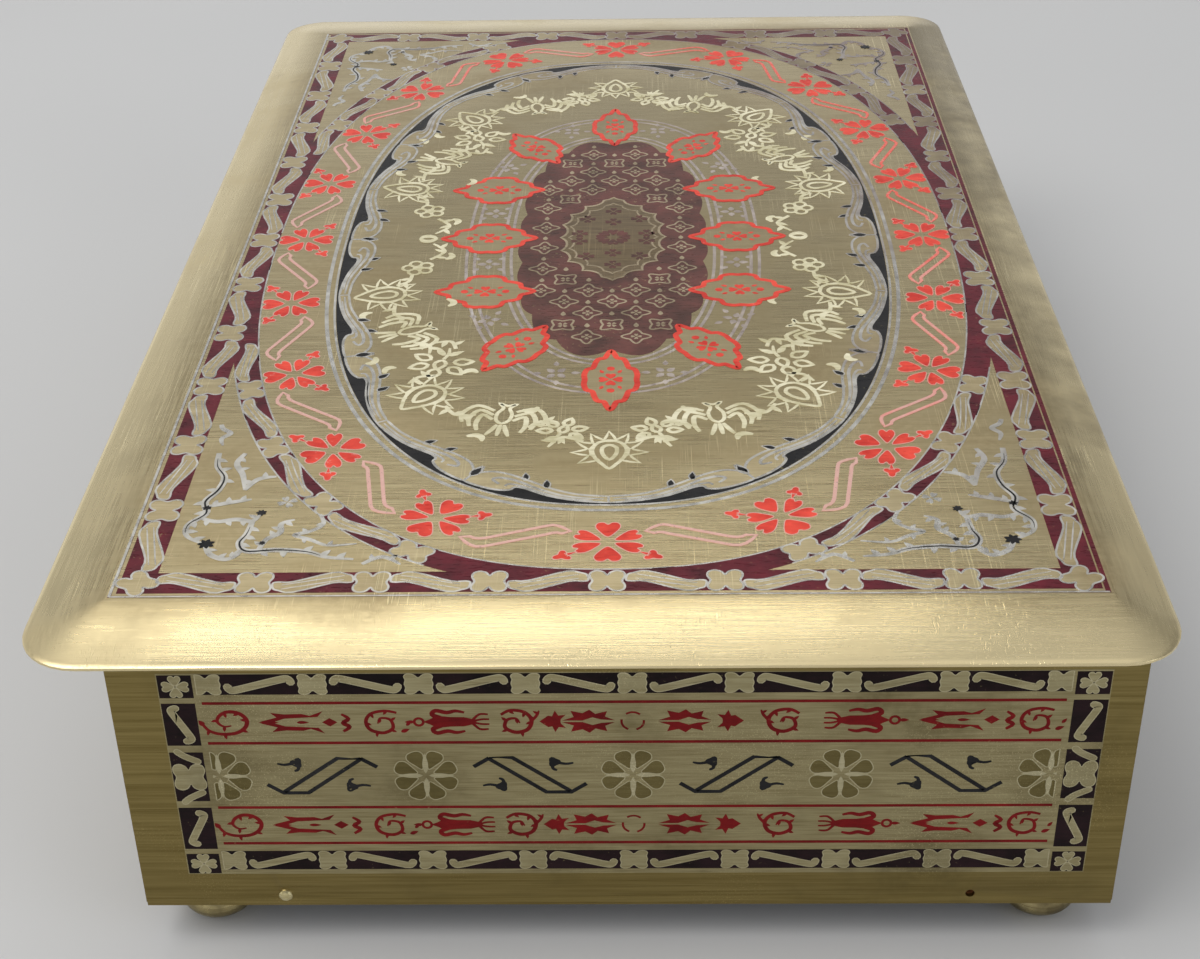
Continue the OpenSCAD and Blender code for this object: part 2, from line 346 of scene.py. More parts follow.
def heart_petal(inner, outer, width):
    """A petal along +x with two lobes at its outer end."""
    r = outer - inner
    half = [(inner, 0), (inner + 0.3 * r, 0.3 * width), (inner + 0.68 * r, 0.5 * width),
            (inner + 0.95 * r, 0.4 * width), (inner + 0.98 * r, 0.16 * width), (inner + 0.84 * r, 0)]
    return curve(half + [(x, -y) for x, y in half[4:0:-1]], 3, closed=True)


def flower(petals, inner, outer, width):
    """Heart-shaped petals around 0."""
    return around([filled(heart_petal(inner, outer, width))], petals)


def full_flower():
    """A large petal above and below, and two smaller ones on each side."""
    large, small = heart_petal(0.9, 3.7, 2.8), heart_petal(0.8, 3.8, 1.9)
    quarters = (math.pi / 2, -math.pi / 2)
    return [s for a in quarters for s in put(large, turn=a)] + \
        [s for a in quarters for lean in (-1.16, 1.16) for s in put(small, turn=a + lean)]


def bud():
    """A small three-lobed bud along +x, with a tail."""
    lobes = polar(lambda a: 0.78 + 0.27 * math.cos(3 * a), 24)
    return [filled(lobes), filled([(-1.7, 0), (-0.4, -0.3), (-0.4, 0.3)])]


def knot(width, height):
    """The four-lobed knot of the bands: a rounded block with a notch above and below."""
    quarter = [(0.42, 0), (0.5, 0.22), (0.46, 0.42), (0.28, 0.5), (0.1, 0.42), (0, 0.27)]
    return curve([complex(p.real * width, p.imag * height) for p in mirror_all(quarter)], 3, closed=True)


def knot_block(width, height):
    """A rounded block with a notch above and below."""
    x, y = width / 2, height / 2
    corner = [(x, 0), (0.92 * x, 0.4 * y), (x, 0.75 * y), (0.8 * x, y), (0.35 * x, 0.95 * y), (0, 0.62 * y)]
    return curve(mirror_all(corner), 3, closed=True)


def s_bar(length, height, width):
    """The slanting bar between two knots, hooked at both ends."""
    x, y = length / 2, height / 2
    return ribbon(curve([(-x, -0.4 * y), (-0.93 * x, -0.85 * y), (-0.76 * x, -0.92 * y), (0, 0),
                         (0.76 * x, 0.92 * y), (0.93 * x, 0.85 * y), (x, 0.4 * y)], 5), width)


def slanted_bar(length, height, width):
    """A straight slanting ribbon with its ends drawn out into points."""
    x, y, w = length / 2, height / 2, width / 2
    upper = [(-x, -0.1 * y), (-0.86 * x, -y + 1.5 * w), (-0.5 * x, -0.62 * y + w), (0.45 * x, 0.5 * y + w),
             (0.8 * x, y), (0.96 * x, 0.75 * y)]
    return curve([point(p) for p in upper[::-1]] + [-point(p) for p in upper[::-1]], 3, closed=True)


def thorny(points, width, thorns, size=0.8, side=1):
    """A tapering smooth stem with small thorns on it."""
    path = curve(points, 6)
    shapes = [drawn(path, (0.7 * width, width, 0.35 * width))]
    for k in range(thorns):
        i = int((k + 0.7) / (thorns + 0.4) * (len(path) - 1))
        along = path[min(i + 1, len(path) - 1)] - path[max(i - 1, 0)]
        lean = cmath.phase(along) + side * (1.1 if k % 2 else 0.8)
        shapes += put(leaf(size, 0.55 * size, 0.2 * side), path[i], lean)
        side = -side if k % 3 == 2 else side
    return shapes


def clover(radius):
    """Four round lobes."""
    corner = 0.4 * radius
    return arcs([(corner, -corner), (corner, corner), (-corner, corner), (-corner, -corner)], 0.72, 7)


def cartouche(half_x, half_y):
    """A pointed, scalloped frame."""
    quarter = [(1, 0), (0.87, 0.14), (0.74, 0.24), (0.7, 0.48), (0.55, 0.6), (0.4, 0.68), (0.34, 0.9),
               (0.16, 1), (0, 0.97)]
    return curve(mirror_all([(x * half_x, y * half_y) for x, y in quarter]), 3, closed=True)


def palmette():
    """A drop along +x in a fan of pointed flames, with a smaller drop inside."""
    body = curve([(4.3, 0), (3.4, 0.75), (2.0, 1.6), (0.2, 1.95), (-1.3, 1.3), (-1.8, 0), (-1.3, -1.3),
                  (0.2, -1.95), (2.0, -1.6), (3.4, -0.75)], 3, closed=True)
    heart = curve([(2.4, 0), (1.2, 0.75), (-0.2, 0.8), (-0.8, 0), (-0.2, -0.8), (1.2, -0.75)], 3, closed=True)
    shapes = [ring(body, 0.46), ring(heart, 0.5)]
    flame_shape = [(0, -0.75), (0.5, -0.62), (1.1, -0.42), (2.1, 0.1), (1.15, 0.3), (0.55, 0.5), (0, 0.75)]
    for degrees in (52, 85, 118, 149, 180, 211, 242, 275, 308):
        turn = math.radians(degrees)
        shapes += moved([ring(flame_shape, 0.34)], 0.5 + cmath.rect(2.15, turn), turn, 1.05,
                        flip=degrees > 180)
    return shapes


def lotus():
    """A small vase along +x with three curved strokes on each side and a fan below."""
    vase = curve([(3.0, 1.0), (2.0, 0.35), (0.8, 0.8), (-0.6, 0.7), (-1.3, 0), (-0.6, -0.7), (0.8, -0.8),
                  (2.0, -0.35), (3.0, -1.0), (2.5, 0)], 3, closed=True)
    shapes = [ring(vase, 0.46)]
    for side in (1, -1):
        for k in range(3):
            reach = 4.6 - 0.95 * k
            base = complex(1.3 - 0.95 * k, side * (1.2 - 0.05 * k))
            bow = [base, base + complex(0.9, side * 0.45 * reach), complex(0.3 - 0.9 * k, side * reach),
                   complex(-1.5 - 0.75 * k, side * (reach - 0.35))]
            shapes.append(stroke(bow, (0.45, 0.62, 0.45)))
    for k in range(-1, 2):
        shapes.append(stroke([(-1.6, 0.4 * k), (-2.7, 0.75 * k), (-3.9, 1.25 * k)], (0.35, 0.6, 0.3)))
    return shapes


def sprig():
    """A five-pointed flower along +x on a short stem with two leaves."""
    shapes = [ring(leaf(2.2, 1.3), 0.5)]
    for turn in (-1.9, -1.0, 0.0, 1.0, 1.9):
        shapes += moved([ring(leaf(2.2, 1.4), 0.5)], cmath.rect(1.5, turn) + 0.6, turn)
    shapes.append(stroke([(-0.3, 0), (-1.6, 0.15), (-3.0, -0.2)], (0.5, 0.45, 0.25)))
    for side in (1, -1):
        shapes += put(leaf(2.2, 0.9, 0.15 * side), (-1.2, 0.1 * side), side * 2.2)
    return shapes


def blossom():
    """Five small rings around a dot."""
    petal = polar(lambda a: 0.85, 12)
    shapes = [filled(polar(lambda a: 0.38, 10))]
    for k in range(5):
        shapes += moved([ring(petal, 0.44)], cmath.rect(1.35, math.tau * k / 5))
    return shapes


def comma(size=1.0):
    """A curled leaf."""
    return moved([stroke([(0, 0), (0.9, 0.75), (1.8, 0.7), (2.4, -0.1)], (0.35, 0.95, 0.25))], size=size)


def tendril(a, b, bow, leaves=3):
    """A curved stem from a to b with small leaves on both sides."""
    a, b = point(a), point(b)
    path = curve([a, (a + b) / 2 + 1j * (b - a) * bow, b], 8)
    shapes = [drawn(path, (0.5, 0.55, 0.3))]
    for k in range(leaves):
        i = int((k + 0.8) / (leaves + 0.6) * (len(path) - 2))
        side = 1 if k % 2 else -1
        turn = cmath.phase(path[i + 1] - path[i]) + 0.9 * side
        shapes += put(leaf(1.7, 0.75, 0.2 * side), path[i], turn)
    return shapes


# ---------------------------------------------------------------- the lid's carpet of ornament

class Lid:
    """The measures of the lid's pattern, in mm from the middle of its panel. A pair is half x and half y."""
    edge = (50.55, 84.95)
    border = (48.05, 82.45)
    border_width = 3.6
    knots_across, knots_along = 8, 12
    oval_middle = (47.6, 81.9)
    oval_width = 3.1
    oval_knots = 30
    flowers = 20
    flower_line = (42.3, 75.3)
    silver_line = (37.7, 69.2)
    black_line = (36.5, 68.0)
    waves = 20
    outer_lines = ((19.8, 43.6), (18.7, 42.5))
    inner_lines = ((14.8, 36.5), (13.8, 35.5))
    field = (12.9, 34.6)
    field_lobes = 20


def band_unit(pitch, width):
    """One knot and the bar after it, in a band along +x: brass shapes, and lines inside them."""
    bar = slanted_bar(0.68 * pitch, 0.8 * width, 0.56 * width)
    end = complex(0.26 * pitch, 0.23 * width)
    ribs = []
    for shift in (-0.1 * width, 0.1 * width):
        ribs.append(stroke([-end + 1j * shift, 1j * shift, end + 1j * shift], (0.1, 0.18, 0.1)))
    return [filled(knot(0.3 * pitch, 1.0 * width))] + put(bar, pitch / 2), moved(ribs, pitch / 2)


def outlined(shapes, width=0.24):
    return [ring(s.path, width) for s in shapes if not s.width]


def lid_border():
    """Shapes and lines of the straight border, for all four sides."""
    shapes, lines = [], []
    half_x, half_y = Lid.border
    sides = ((half_x, Lid.knots_across, 0, half_y), (half_y, Lid.knots_along, math.pi / 2, half_x))
    for half, count, turn, out in sides:
        pitch = 2 * half / count
        brass, ribs = band_unit(pitch, Lid.border_width)
        for sign in (1, -1):
            for k in range(count):
                flip = (k + (sign > 0)) % 2 == 1
                along = -half + k * pitch
                place = complex(sign * out, along) if turn else complex(along, -sign * out)
                knots = brass[:1] if k else []
                shapes += moved(knots + moved(brass[1:], flip=flip), place, turn)
                lines += moved(moved(ribs, flip=flip), place, turn)
    for sx in (1, -1):
        for sy in (1, -1):
            shapes += put(knot(3.4, 3.8), complex(sx * half_x, sy * half_y), math.pi / 4 * sx * sy)
    return shapes, lines


def oval_band():
    """Shapes and lines of the maroon oval."""
    track = Track(oval(*Lid.oval_middle))
    pitch = track.length / Lid.oval_knots
    brass, ribs = band_unit(pitch, Lid.oval_width)
    shapes, lines = [], []
    for k in range(Lid.oval_knots):
        flip = k % 2 == 1
        knot_shape = track.bend(brass[:1], k * pitch)
        bar = track.bend(moved(brass[1:], flip=flip), k * pitch)
        shapes += clear_of_border(knot_shape + bar)
        if clear_of_border(bar):
            lines += track.bend(moved(ribs, flip=flip), k * pitch)
    return shapes, lines


def clear_of_border(shapes):
    """Those shapes of the oval that don't run into the straight border."""
    limit_x = Lid.border[0] - Lid.border_width / 2 - 0.2
    limit_y = Lid.border[1] - Lid.border_width / 2 - 0.2
    return [s for s in shapes if all(abs(p.real) < limit_x and abs(p.imag) < limit_y for p in s.path)]


def flower_ring():
    """Red flowers and buds, and the outlined bars between them."""
    track = Track(oval(*Lid.flower_line))
    pitch = track.length / Lid.flowers
    reds, bars = [], []
    end = [point(p) for p in ((3.7, -0.75), (4.4, -0.62), (4.9, -0.2), (5.3, 0.45), (5.7, 1.45), (4.65, 1.35),
                              (4.3, 0.98), (3.8, 0.79), (3.1, 0.75))]
    bar = moved([ring(end + [-p for p in end], 0.44)], turn=math.radians(-33))
    for k in range(Lid.flowers):
        inward = k % 2 == 0
        reds += track.bend(full_flower(), k * pitch)
        for side in (1, -1):
            place = complex(side * 4.5, 2.8 if inward else -2.8)
            reds += track.bend(moved(bud(), place, cmath.phase(place)), k * pitch)
        bars += track.bend(moved(bar, flip=inward), (k + 0.5) * pitch)
    return reds, bars


def wave_height(t):
    """How far the black ground reaches in, over one wave."""
    return 1.1 + 1.2 * math.sin(math.pi * t) ** 2


def scroll_unit(pitch):
    """One wave, with +y inwards: its brass scroll, the lines in it, and the black thorns on its crest."""
    def along(points, steps):
        return curve([(x * pitch, y) for x, y in points], steps)

    under = [(0, 0.3), (0.2, 0.6), (0.4, 1.2), (0.57, 2.0), (0.65, 1.9), (0.67, 1.2), (0.76, 0.65),
             (0.9, 0.45), (1.0, 0.5)]
    over = [(1.0, 1.9), (0.96, 3.0), (0.87, 3.9), (0.72, 4.05), (0.55, 3.5), (0.38, 2.6), (0.2, 1.85),
            (0, 1.55)]
    outer = [(0.03, 1.0), (0.28, 1.4), (0.5, 2.4), (0.66, 3.15), (0.79, 3.1), (0.84, 2.4), (0.77, 1.85)]
    inner = [(0.1, 0.75), (0.3, 1.05), (0.47, 1.75), (0.6, 2.35), (0.7, 2.3), (0.72, 1.7)]
    lines = [drawn(along(outer, 4), (0.2, 0.44, 0.34)), drawn(along(inner, 4), (0.16, 0.34, 0.28))]
    thorns = []
    for x, y, lean in ((0.42, 2.7, 0.95), (0.6, 3.6, 0.75)):
        thorns += put(leaf(1.7, 1.0, 0.25), complex(x * pitch, y), lean)
    thorns += put(leaf(2.4, 1.2, 0.15), complex(1.0 * pitch, 1.7), 1.5)
    return [filled(along(under, 3) + along(over, 4))], lines, thorns


def black_ring():
    """The black ground's two edges, and the drawings on it: scrolls, the lines in them, and thorns."""
    track = Track(oval(*Lid.black_line))
    pitch = track.length / Lid.waves
    steps = 40
    edge = []
    for k in range(Lid.waves):
        for i in range(steps):
            place, direction = track.at((k + i / steps) * pitch)
            edge.append(place + 1j * direction * wave_height(i / steps if k % 2 else 1 - i / steps))
    unit = scroll_unit(pitch)
    drawings = [[], [], []]
    for k in range(Lid.waves):
        start = k * pitch if k % 2 else (k + 1) * pitch
        for drawing, shapes in zip(drawings, unit):
            drawing.extend(track.bend(shapes, start, flip=k % 2 == 0))
    outer = [track.at(track.length * i / len(edge))[0] for i in range(len(edge))]
    return outer, edge, drawings


def vine_ring():
    """The cream flowers and stems between the black ring and the cartouches."""
    quarter = []
    for place, degrees, motif in (((28.9, 17.0), 12, palmette), ((25.4, 27.3), 205, lotus),
                                  ((20.6, 35.2), 75, sprig), ((21.6, 43.4), 52, palmette),
                                  ((12.4, 49.2), 262, lotus)):
        quarter += moved(motif(), place, math.radians(degrees), 1.08)
    quarter += moved(blossom(), (26.0, 9.2), 0, 0.95)
    quarter += moved(sprig(), (5.6, 52.8), math.radians(250), 0.8)
    for start, end, bow, leaves in (((26.6, 11.4), (28.4, 14.4), 0.2, 2),
                                    ((28.0, 20.2), (25.3, 24.2), -0.25, 3),
                                    ((24.6, 30.4), (22.4, 33.4), 0.3, 2),
                                    ((19.2, 32.2), (22.0, 30.6), -0.4, 2),
                                    ((21.2, 39.0), (24.3, 41.0), -0.2, 2),
                                    ((19.4, 46.4), (15.6, 48.6), -0.25, 3),
                                    ((9.4, 51.6), (6.2, 50.8), 0.3, 2), ((3.0, 54.8), (7.0, 56.0), -0.4, 3),
                                    ((24.6, 6.6), (24.6, 1.6), -0.35, 3)):
        quarter += tendril(start, end, bow, leaves)
    for place, degrees, size in (((21.4, 18.4), 100, 0.9), ((31.5, 24.2), 250, 0.9), ((18.0, 38.6), 190, 0.8),
                                 ((29.0, 34.2), 60, 0.8), ((16.4, 53.4), 150, 0.9), ((22.2, 4.6), 80, 0.8),
                                 ((8.4, 46.8), 20, 0.8), ((27.4, 38.4), 230, 0.8)):
        quarter += moved(comma(size), place, math.radians(degrees))
    shapes = four_ways(quarter)
    for sign, outward in ((1, 0), (-1, math.pi)):
        shapes += moved(palmette(), complex(0, sign * 56.4), sign * math.pi / 2)
        for flip in (False, True):
            shapes += moved(comma(), complex(sign * 24.2, 0), outward, flip=flip)
    return shapes


def cartouches():
    """The twelve red frames, as their outlines, and the cross-flowers in them."""
    wide, small, tall = cartouche(6.4, 4.5), cartouche(6.7, 3.4), cartouche(7.3, 3.2)
    places = [(0, 40.3, 90, tall), (0, -40.3, 90, tall)]
    for sx in (1, -1):
        places += [(sx * 17.0, 0, 0, wide)]
        for sy in (1, -1):
            places += [(sx * 16.6, sy * 16.4, 0, wide), (sx * 11.9, sy * 32.0, 58 * sx * sy, small)]
    mark = flower(4, 0.2, 1.45, 1.25)
    for x in (-2.7, 2.7):
        mark += put(polar(lambda a: 0.5, 10), x)
    mark += four_ways(put(leaf(0.9, 0.5), (1.6, 0.9), 0.5))
    outlines, marks = [], []
    for x, y, degrees, shape in places:
        turn = math.radians(degrees)
        outlines += put(shape, (x, y), turn)
        marks += moved(mark, (x, y), turn)
    return outlines, marks


def medallion():
    """The stepped outline in the middle of the lid."""
    quarter = [(7.2, 0), (6.3, 1.8), (7.0, 4.2), (5.9, 5.6), (6.0, 7.6), (4.3, 8.4), (4.0, 10.4), (2.2, 10.9),
               (1.4, 12.4), (0, 13.4)]
    return arcs(mirror_all(quarter), -0.1, 4)


def field_net():
    """The net of quatrefoils on the maroon field, around the medallion."""
    shapes = []
    step_x, step_y = 6.2, 3.25
    field_x, field_y = Lid.field[0] - 1.6, Lid.field[1] - 2.2
    centre_x, centre_y = 8.4, 13.6
    for row in range(-11, 12):
        for column in range(-3, 4):
            x = (column + (0.5 if row % 2 else 0)) * step_x
            y = row * step_y
            outside = (abs(x) / field_x) ** 2.6 + (abs(y) / field_y) ** 2.6 > 1
            inside = (abs(x) / centre_x) ** 2 + (abs(y) / centre_y) ** 2 < 1
            if not outside and not inside:
                turn = math.pi / 4 if row % 4 == 0 else 0
                shapes += moved([ring(clover(1.9), 0.28)] + flower(4, 0.1, 0.7, 0.5), complex(x, y), turn)
                shapes += put(leaf(1.2, 0.7), complex(x, y + 2.5), math.pi / 2)
    return shapes


def medallion_marks():
    """Small flowers in the medallion."""
    shapes = flower(8, 0.7, 2.4, 1.5)
    small = flower(4, 0.15, 1.15, 0.95)
    for x, y in ((0, 8.6), (3.6, 6.0), (4.6, 1.2), (0, 5.0)):
        shapes += four_ways(moved(small, (x, y))) if x else moved(small, (0, y)) + moved(small, (0, -y))
    return shapes


def florets():
    """The small crosses between the cartouches."""
    cross = around(put(leaf(1.1, 0.75), 0.25), 4)
    cross += around(put(leaf(1.0, 0.6), 1.5), 4, math.pi / 4)
    shapes = []
    for x, y, turn in ((16.6, 8.2, 0), (15.6, 24.6, 0.3), (6.6, 38.6, 0.8)):
        shapes += four_ways(moved(cross, (x, y), turn, 1.2))
    return shapes


def spandrel():
    """Thorny scrolls of one corner between the border and the oval, and the black blots on them."""
    stems = []
    for stem in (([(44.2, 56.8), (43.9, 59.6), (42.7, 62.0), (42.9, 64.6), (43.9, 67.0), (43.4, 69.4),
                   (44.9, 71.6), (44.6, 73.8), (42.4, 75.4)], 0.86, 9, 1.4),
                 ([(43.4, 68.0), (41.4, 67.3), (38.9, 66.6)], 0.72, 3, 1.2),
                 ([(44.0, 70.2), (42.0, 71.0), (39.9, 70.6), (38.1, 70.9), (37.4, 69.2)], 0.72, 4, 1.2, -1),
                 ([(38.1, 71.0), (38.3, 73.4), (38.8, 75.2), (37.8, 76.7), (34.6, 76.5), (31.4, 76.9),
                   (29.2, 77.9), (26.4, 78.3)], 0.86, 9, 1.4),
                 ([(42.4, 75.4), (41.5, 77.3), (39.7, 78.2), (38.4, 77.2)], 0.72, 3, 1.2),
                 ([(36.6, 76.6), (36.1, 74.6), (34.8, 73.2), (34.9, 71.5), (33.6, 70.7)], 0.72, 4, 1.2),
                 ([(31.0, 69.7), (30.4, 71.6), (31.6, 73.0), (33.2, 73.7), (31.4, 74.6), (29.4, 75.7),
                   (26.4, 75.4)], 0.58, 4, 1.0, -1),
                 ([(41.2, 56.9), (41.8, 59.1), (40.7, 61.6), (40.0, 64.7)], 0.72, 3, 1.2),
                 ([(40.0, 64.7), (38.9, 62.5), (36.9, 61.9)], 0.72, 2, 1.2),
                 ([(45.1, 50.4), (44.7, 51.4), (43.7, 52.4), (44.5, 53.6), (44.1, 55.1)], 0.7, 0),
                 ([(25.4, 79.2), (23.4, 77.9), (21.4, 79.3)], 0.62, 2, 1.1)):
        stems += thorny(*stem)
    stems += moved(flower(4, 0.1, 1.1, 0.8), (34.9, 67.2), 0.4)
    blots = []
    for place, size in (((42.3, 75.3), 0.95), ((43.5, 68.3), 0.55), ((37.4, 69.3), 0.6), ((36.4, 75.2), 0.4)):
        blots += put(polar(lambda a: size * (0.8 + 0.2 * math.cos(7 * a)), 28), place)
    return stems, blots


# ---------------------------------------------------------------- a plate's pattern, y from its lower edge

class Plate:
    """The measures of the plates' patterns, in mm. Bands, boxes and lines are heights from the lower edge."""
    short_half, short_pitches = 43.7, 8
    long_half, long_pitches = 80.7, 16
    field_low, field_high = 4.7, 31.6
    bands = ((5.25, 7.9), (29.0, 31.6))
    gap, column = 0.7, 3.5
    red_lines = (9.0, 14.0, 22.7, 27.9)
    friezes = (25.4, 11.55)
    middle = 18.3
    corner_boxes = ((4.7, 7.5), (28.6, 31.5))
    bar_boxes = ((8.2, 14.0), (22.4, 27.9))
    knot_box = (14.9, 21.5)


def cut_at(outline, x):
    """The part of a closed outline to the right of x."""
    out = []
    for a, b in zip(outline, outline[1:] + outline[:1]):
        if a.real >= x:
            out.append(a)
        if (a.real >= x) != (b.real >= x):
            out.append(a + (b - a) * (x - a.real) / (b.real - a.real))
    return out


def trimmed(shapes, half):
    """Closed shapes cut off at x = -half and x = half."""
    out = []
    for s in shapes:
        path = [-p for p in cut_at([-p for p in cut_at(s.path, -half)], -half)]
        if len(path) > 3:
            out.append(filled(path))
    return out


def up_and_down(points):
    """A closed outline from its upper half, from left to right."""
    top = [point(p) for p in points]
    return top + [p.conjugate() for p in top[::-1] if p.imag > 0.01]


def spiral():
    """A thorny spiral with its tail on the left."""
    path = [(-3.0, -0.3), (-2.4, -1.1), (-1.2, -1.5), (0.3, -1.35), (1.3, -0.6), (1.5, 0.4), (0.8, 1.2),
            (-0.3, 1.4), (-1.2, 0.9), (-1.5, 0.1), (-0.9, -0.5), (-0.1, -0.4)]
    return thorny(path, 0.46, 8, 0.7, -1) + put(leaf(0.9, 0.6), (-2.9, -0.4), 2.2)


def above_and_below(outline):
    """A filled outline and its mirror image across the x axis."""
    return [filled(outline)] + moved([filled(outline)], flip=True)


def crown():
    """Two long open jaws with a bar on their left and a dash between them."""
    jaw = [(-3.4, 0.12), (-1.7, 0.65), (-2.3, 1.25), (-0.9, 1.05), (0.9, 1.1), (1.7, 0.85), (3.1, 1.45),
           (2.5, 0.7), (1.1, 0.62), (-0.9, 0.5), (-1.9, 0.12)]
    bar = up_and_down([(-3.6, 0), (-2.6, 0.3), (-1.5, 0)])
    return above_and_below(jaw) + [filled(bar)] + put(leaf(1.3, 0.4), 0.3)


def diamond():
    return [filled(up_and_down([(-0.8, 0), (0.0, 0.55), (0.8, 0)]))]


def wave_mark():
    return [stroke([(-0.35, 1.05), (0.35, 0.45), (-0.25, -0.1), (0.4, -0.6), (-0.3, -1.2)], (0.25, 0.5, 0.3))]


def c_scroll():
    """A thorny scroll, open on the right, with two dashes below its mouth."""
    path = [(1.6, 1.2), (0.4, 1.45), (-1.0, 1.1), (-1.6, 0.1), (-1.2, -1.0), (0.1, -1.4), (1.1, -0.8),
            (0.9, 0.3), (-0.1, 0.5), (-0.4, -0.2)]
    dashes = put(leaf(1.0, 0.5), (1.9, -1.3), 0.4) + put(leaf(0.8, 0.4), (2.5, -0.5), 0.9)
    return thorny(path, 0.42, 7, 0.65) + dashes


def bird():
    """A plain bird from above, with its head on the left and a forked tail."""
    body = up_and_down([(-3.0, 0), (-2.3, 0.32), (-1.5, 0.8), (-0.2, 0.62), (1.2, 0.6), (2.3, 0.3), (2.5, 0)])
    wing = [(-1.2, 0.5), (-2.0, 0.95), (-1.6, 1.45), (-0.5, 1.2), (0.4, 1.4), (1.3, 1.2)]
    side = [stroke(wing, (0.6, 0.5, 0.25)),
            stroke([(2.1, 0.2), (2.8, 0.95), (3.7, 0.95)], (0.35, 0.28, 0.2)),
            stroke([(2.2, 0.1), (3.0, 0.3), (3.8, 0.32)], (0.3, 0.25, 0.2))]
    head = [ring(polar(lambda a: 0.47, 14), 0.3)] + put(leaf(1.0, 0.45), -0.45, math.pi)
    return [filled(body)] + side + moved(side, flip=True) + moved(head, (-3.4, 0))


def s_scroll():
    """A thorny scroll, open on the left, with a tail on its right."""
    path = [(-1.7, 0.9), (-0.7, 1.45), (0.7, 1.2), (1.4, 0.2), (1.0, -1.0), (-0.2, -1.4), (-1.3, -0.8),
            (-1.1, 0.2), (-0.2, 0.4), (0.2, -0.2)]
    return thorny(path, 0.46, 7, 0.7, -1) + thorny([(1.2, -0.2), (1.9, 0.7), (2.2, 1.4)], 0.34, 2, 0.6)


def fleur():
    """A three-pointed arrow that points left."""
    return [filled(up_and_down([(-1.6, 0), (-0.7, 0.75), (-0.3, 0.65), (0.0, 1.4), (0.35, 0.75), (1.1, 0.85),
                                (0.6, 0.3), (0.55, 0)]))]


def flame():
    """A jagged lozenge around an empty middle."""
    return above_and_below([(-2.7, 0.1), (-1.5, 0.55), (-1.8, 1.35), (-0.6, 1.05), (0.1, 1.5), (0.7, 0.95),
                            (1.9, 1.3), (1.7, 0.6), (2.7, 0.12), (1.3, 0.22), (0.4, 0.5), (-0.6, 0.1)])


def three_arcs():
    """A broken ring."""
    return around([stroke([cmath.rect(1.15, a) for a in (0.25, 0.7, 1.15, 1.6)], 0.24, 3)], 3, 0.6)


# Each frieze motif with its place, and whether it is mirrored end to end
FRIEZE_LEFT = ((spiral, -40.9, False), (crown, -34.6, False), (diamond, -30.9, False),
               (wave_mark, -29.3, False),
               (c_scroll, -25.6, False), (bird, -18.4, False), (s_scroll, -11.7, False), (fleur, -7.9, False),
               (flame, -4.5, False))
FRIEZE_RIGHT = ((flame, 5.3, False), (fleur, 9.7, True), (s_scroll, 15.2, True), (bird, 23.2, True),
                (crown, 32.6, False), (diamond, 36.4, False), (wave_mark, 38.2, False),
                (c_scroll, 41.0, False))


def frieze(half):
    """The red motifs of one frieze: the front's own order, or that order twice over on a long plate."""
    long = half > Plate.short_half
    size = half / 2 / Plate.short_half if long else 1
    middle_gap = 4
    shapes = []
    for shift in (-half / 2, half / 2) if long else (0,):
        for motif, x, turned in FRIEZE_LEFT + FRIEZE_RIGHT:
            place = shift + size * x
            if not long or abs(place) >= middle_gap:
                shapes += moved(mirrored(motif()) if turned else motif(), place)
        shapes += moved(three_arcs(), shift)
    return shapes + c_scroll() if long else shapes


def rosette_petals():
    """Eight rounded petals, and the bright strips between every other two of them."""
    petal = curve([(0.9, 0), (1.6, 0.46), (2.6, 0.92), (3.25, 0.66), (3.4, 0), (3.25, -0.66), (2.6, -0.92),
                   (1.6, -0.46)], 3, closed=True)
    return around([filled(petal)], 8, math.pi / 8), around(put(leaf(2.7, 0.62), 0.3), 4)


def slanted_frame():
    """The black slanting frame of the middle band, with a hooked leaf on either side."""
    lines = [drawn(path, 0.48) for path in (
        ((-5.9, -1.15), (-4.3, -2.3), (-1.7, -2.3), (4.25, 2.32), (1.7, 2.35), (-4.2, -2.15)),
        ((4.1, 2.3), (5.75, 1.15)))]
    mark = [filled(polar(lambda a: 0.62 + 0.12 * math.cos(3 * a), 16)),
            stroke([(0.2, 0), (1.2, 0.25), (2.0, 0.1)], (0.5, 0.32, 0.2), 3),
            stroke([(-0.2, 0.4), (-0.1, 0.9), (0.3, 1.1)], (0.5, 0.35, 0.2), 3)]
    return lines + moved(mark, (-2.6, 1.75), math.pi) + moved(mark, (2.9, -1.5))


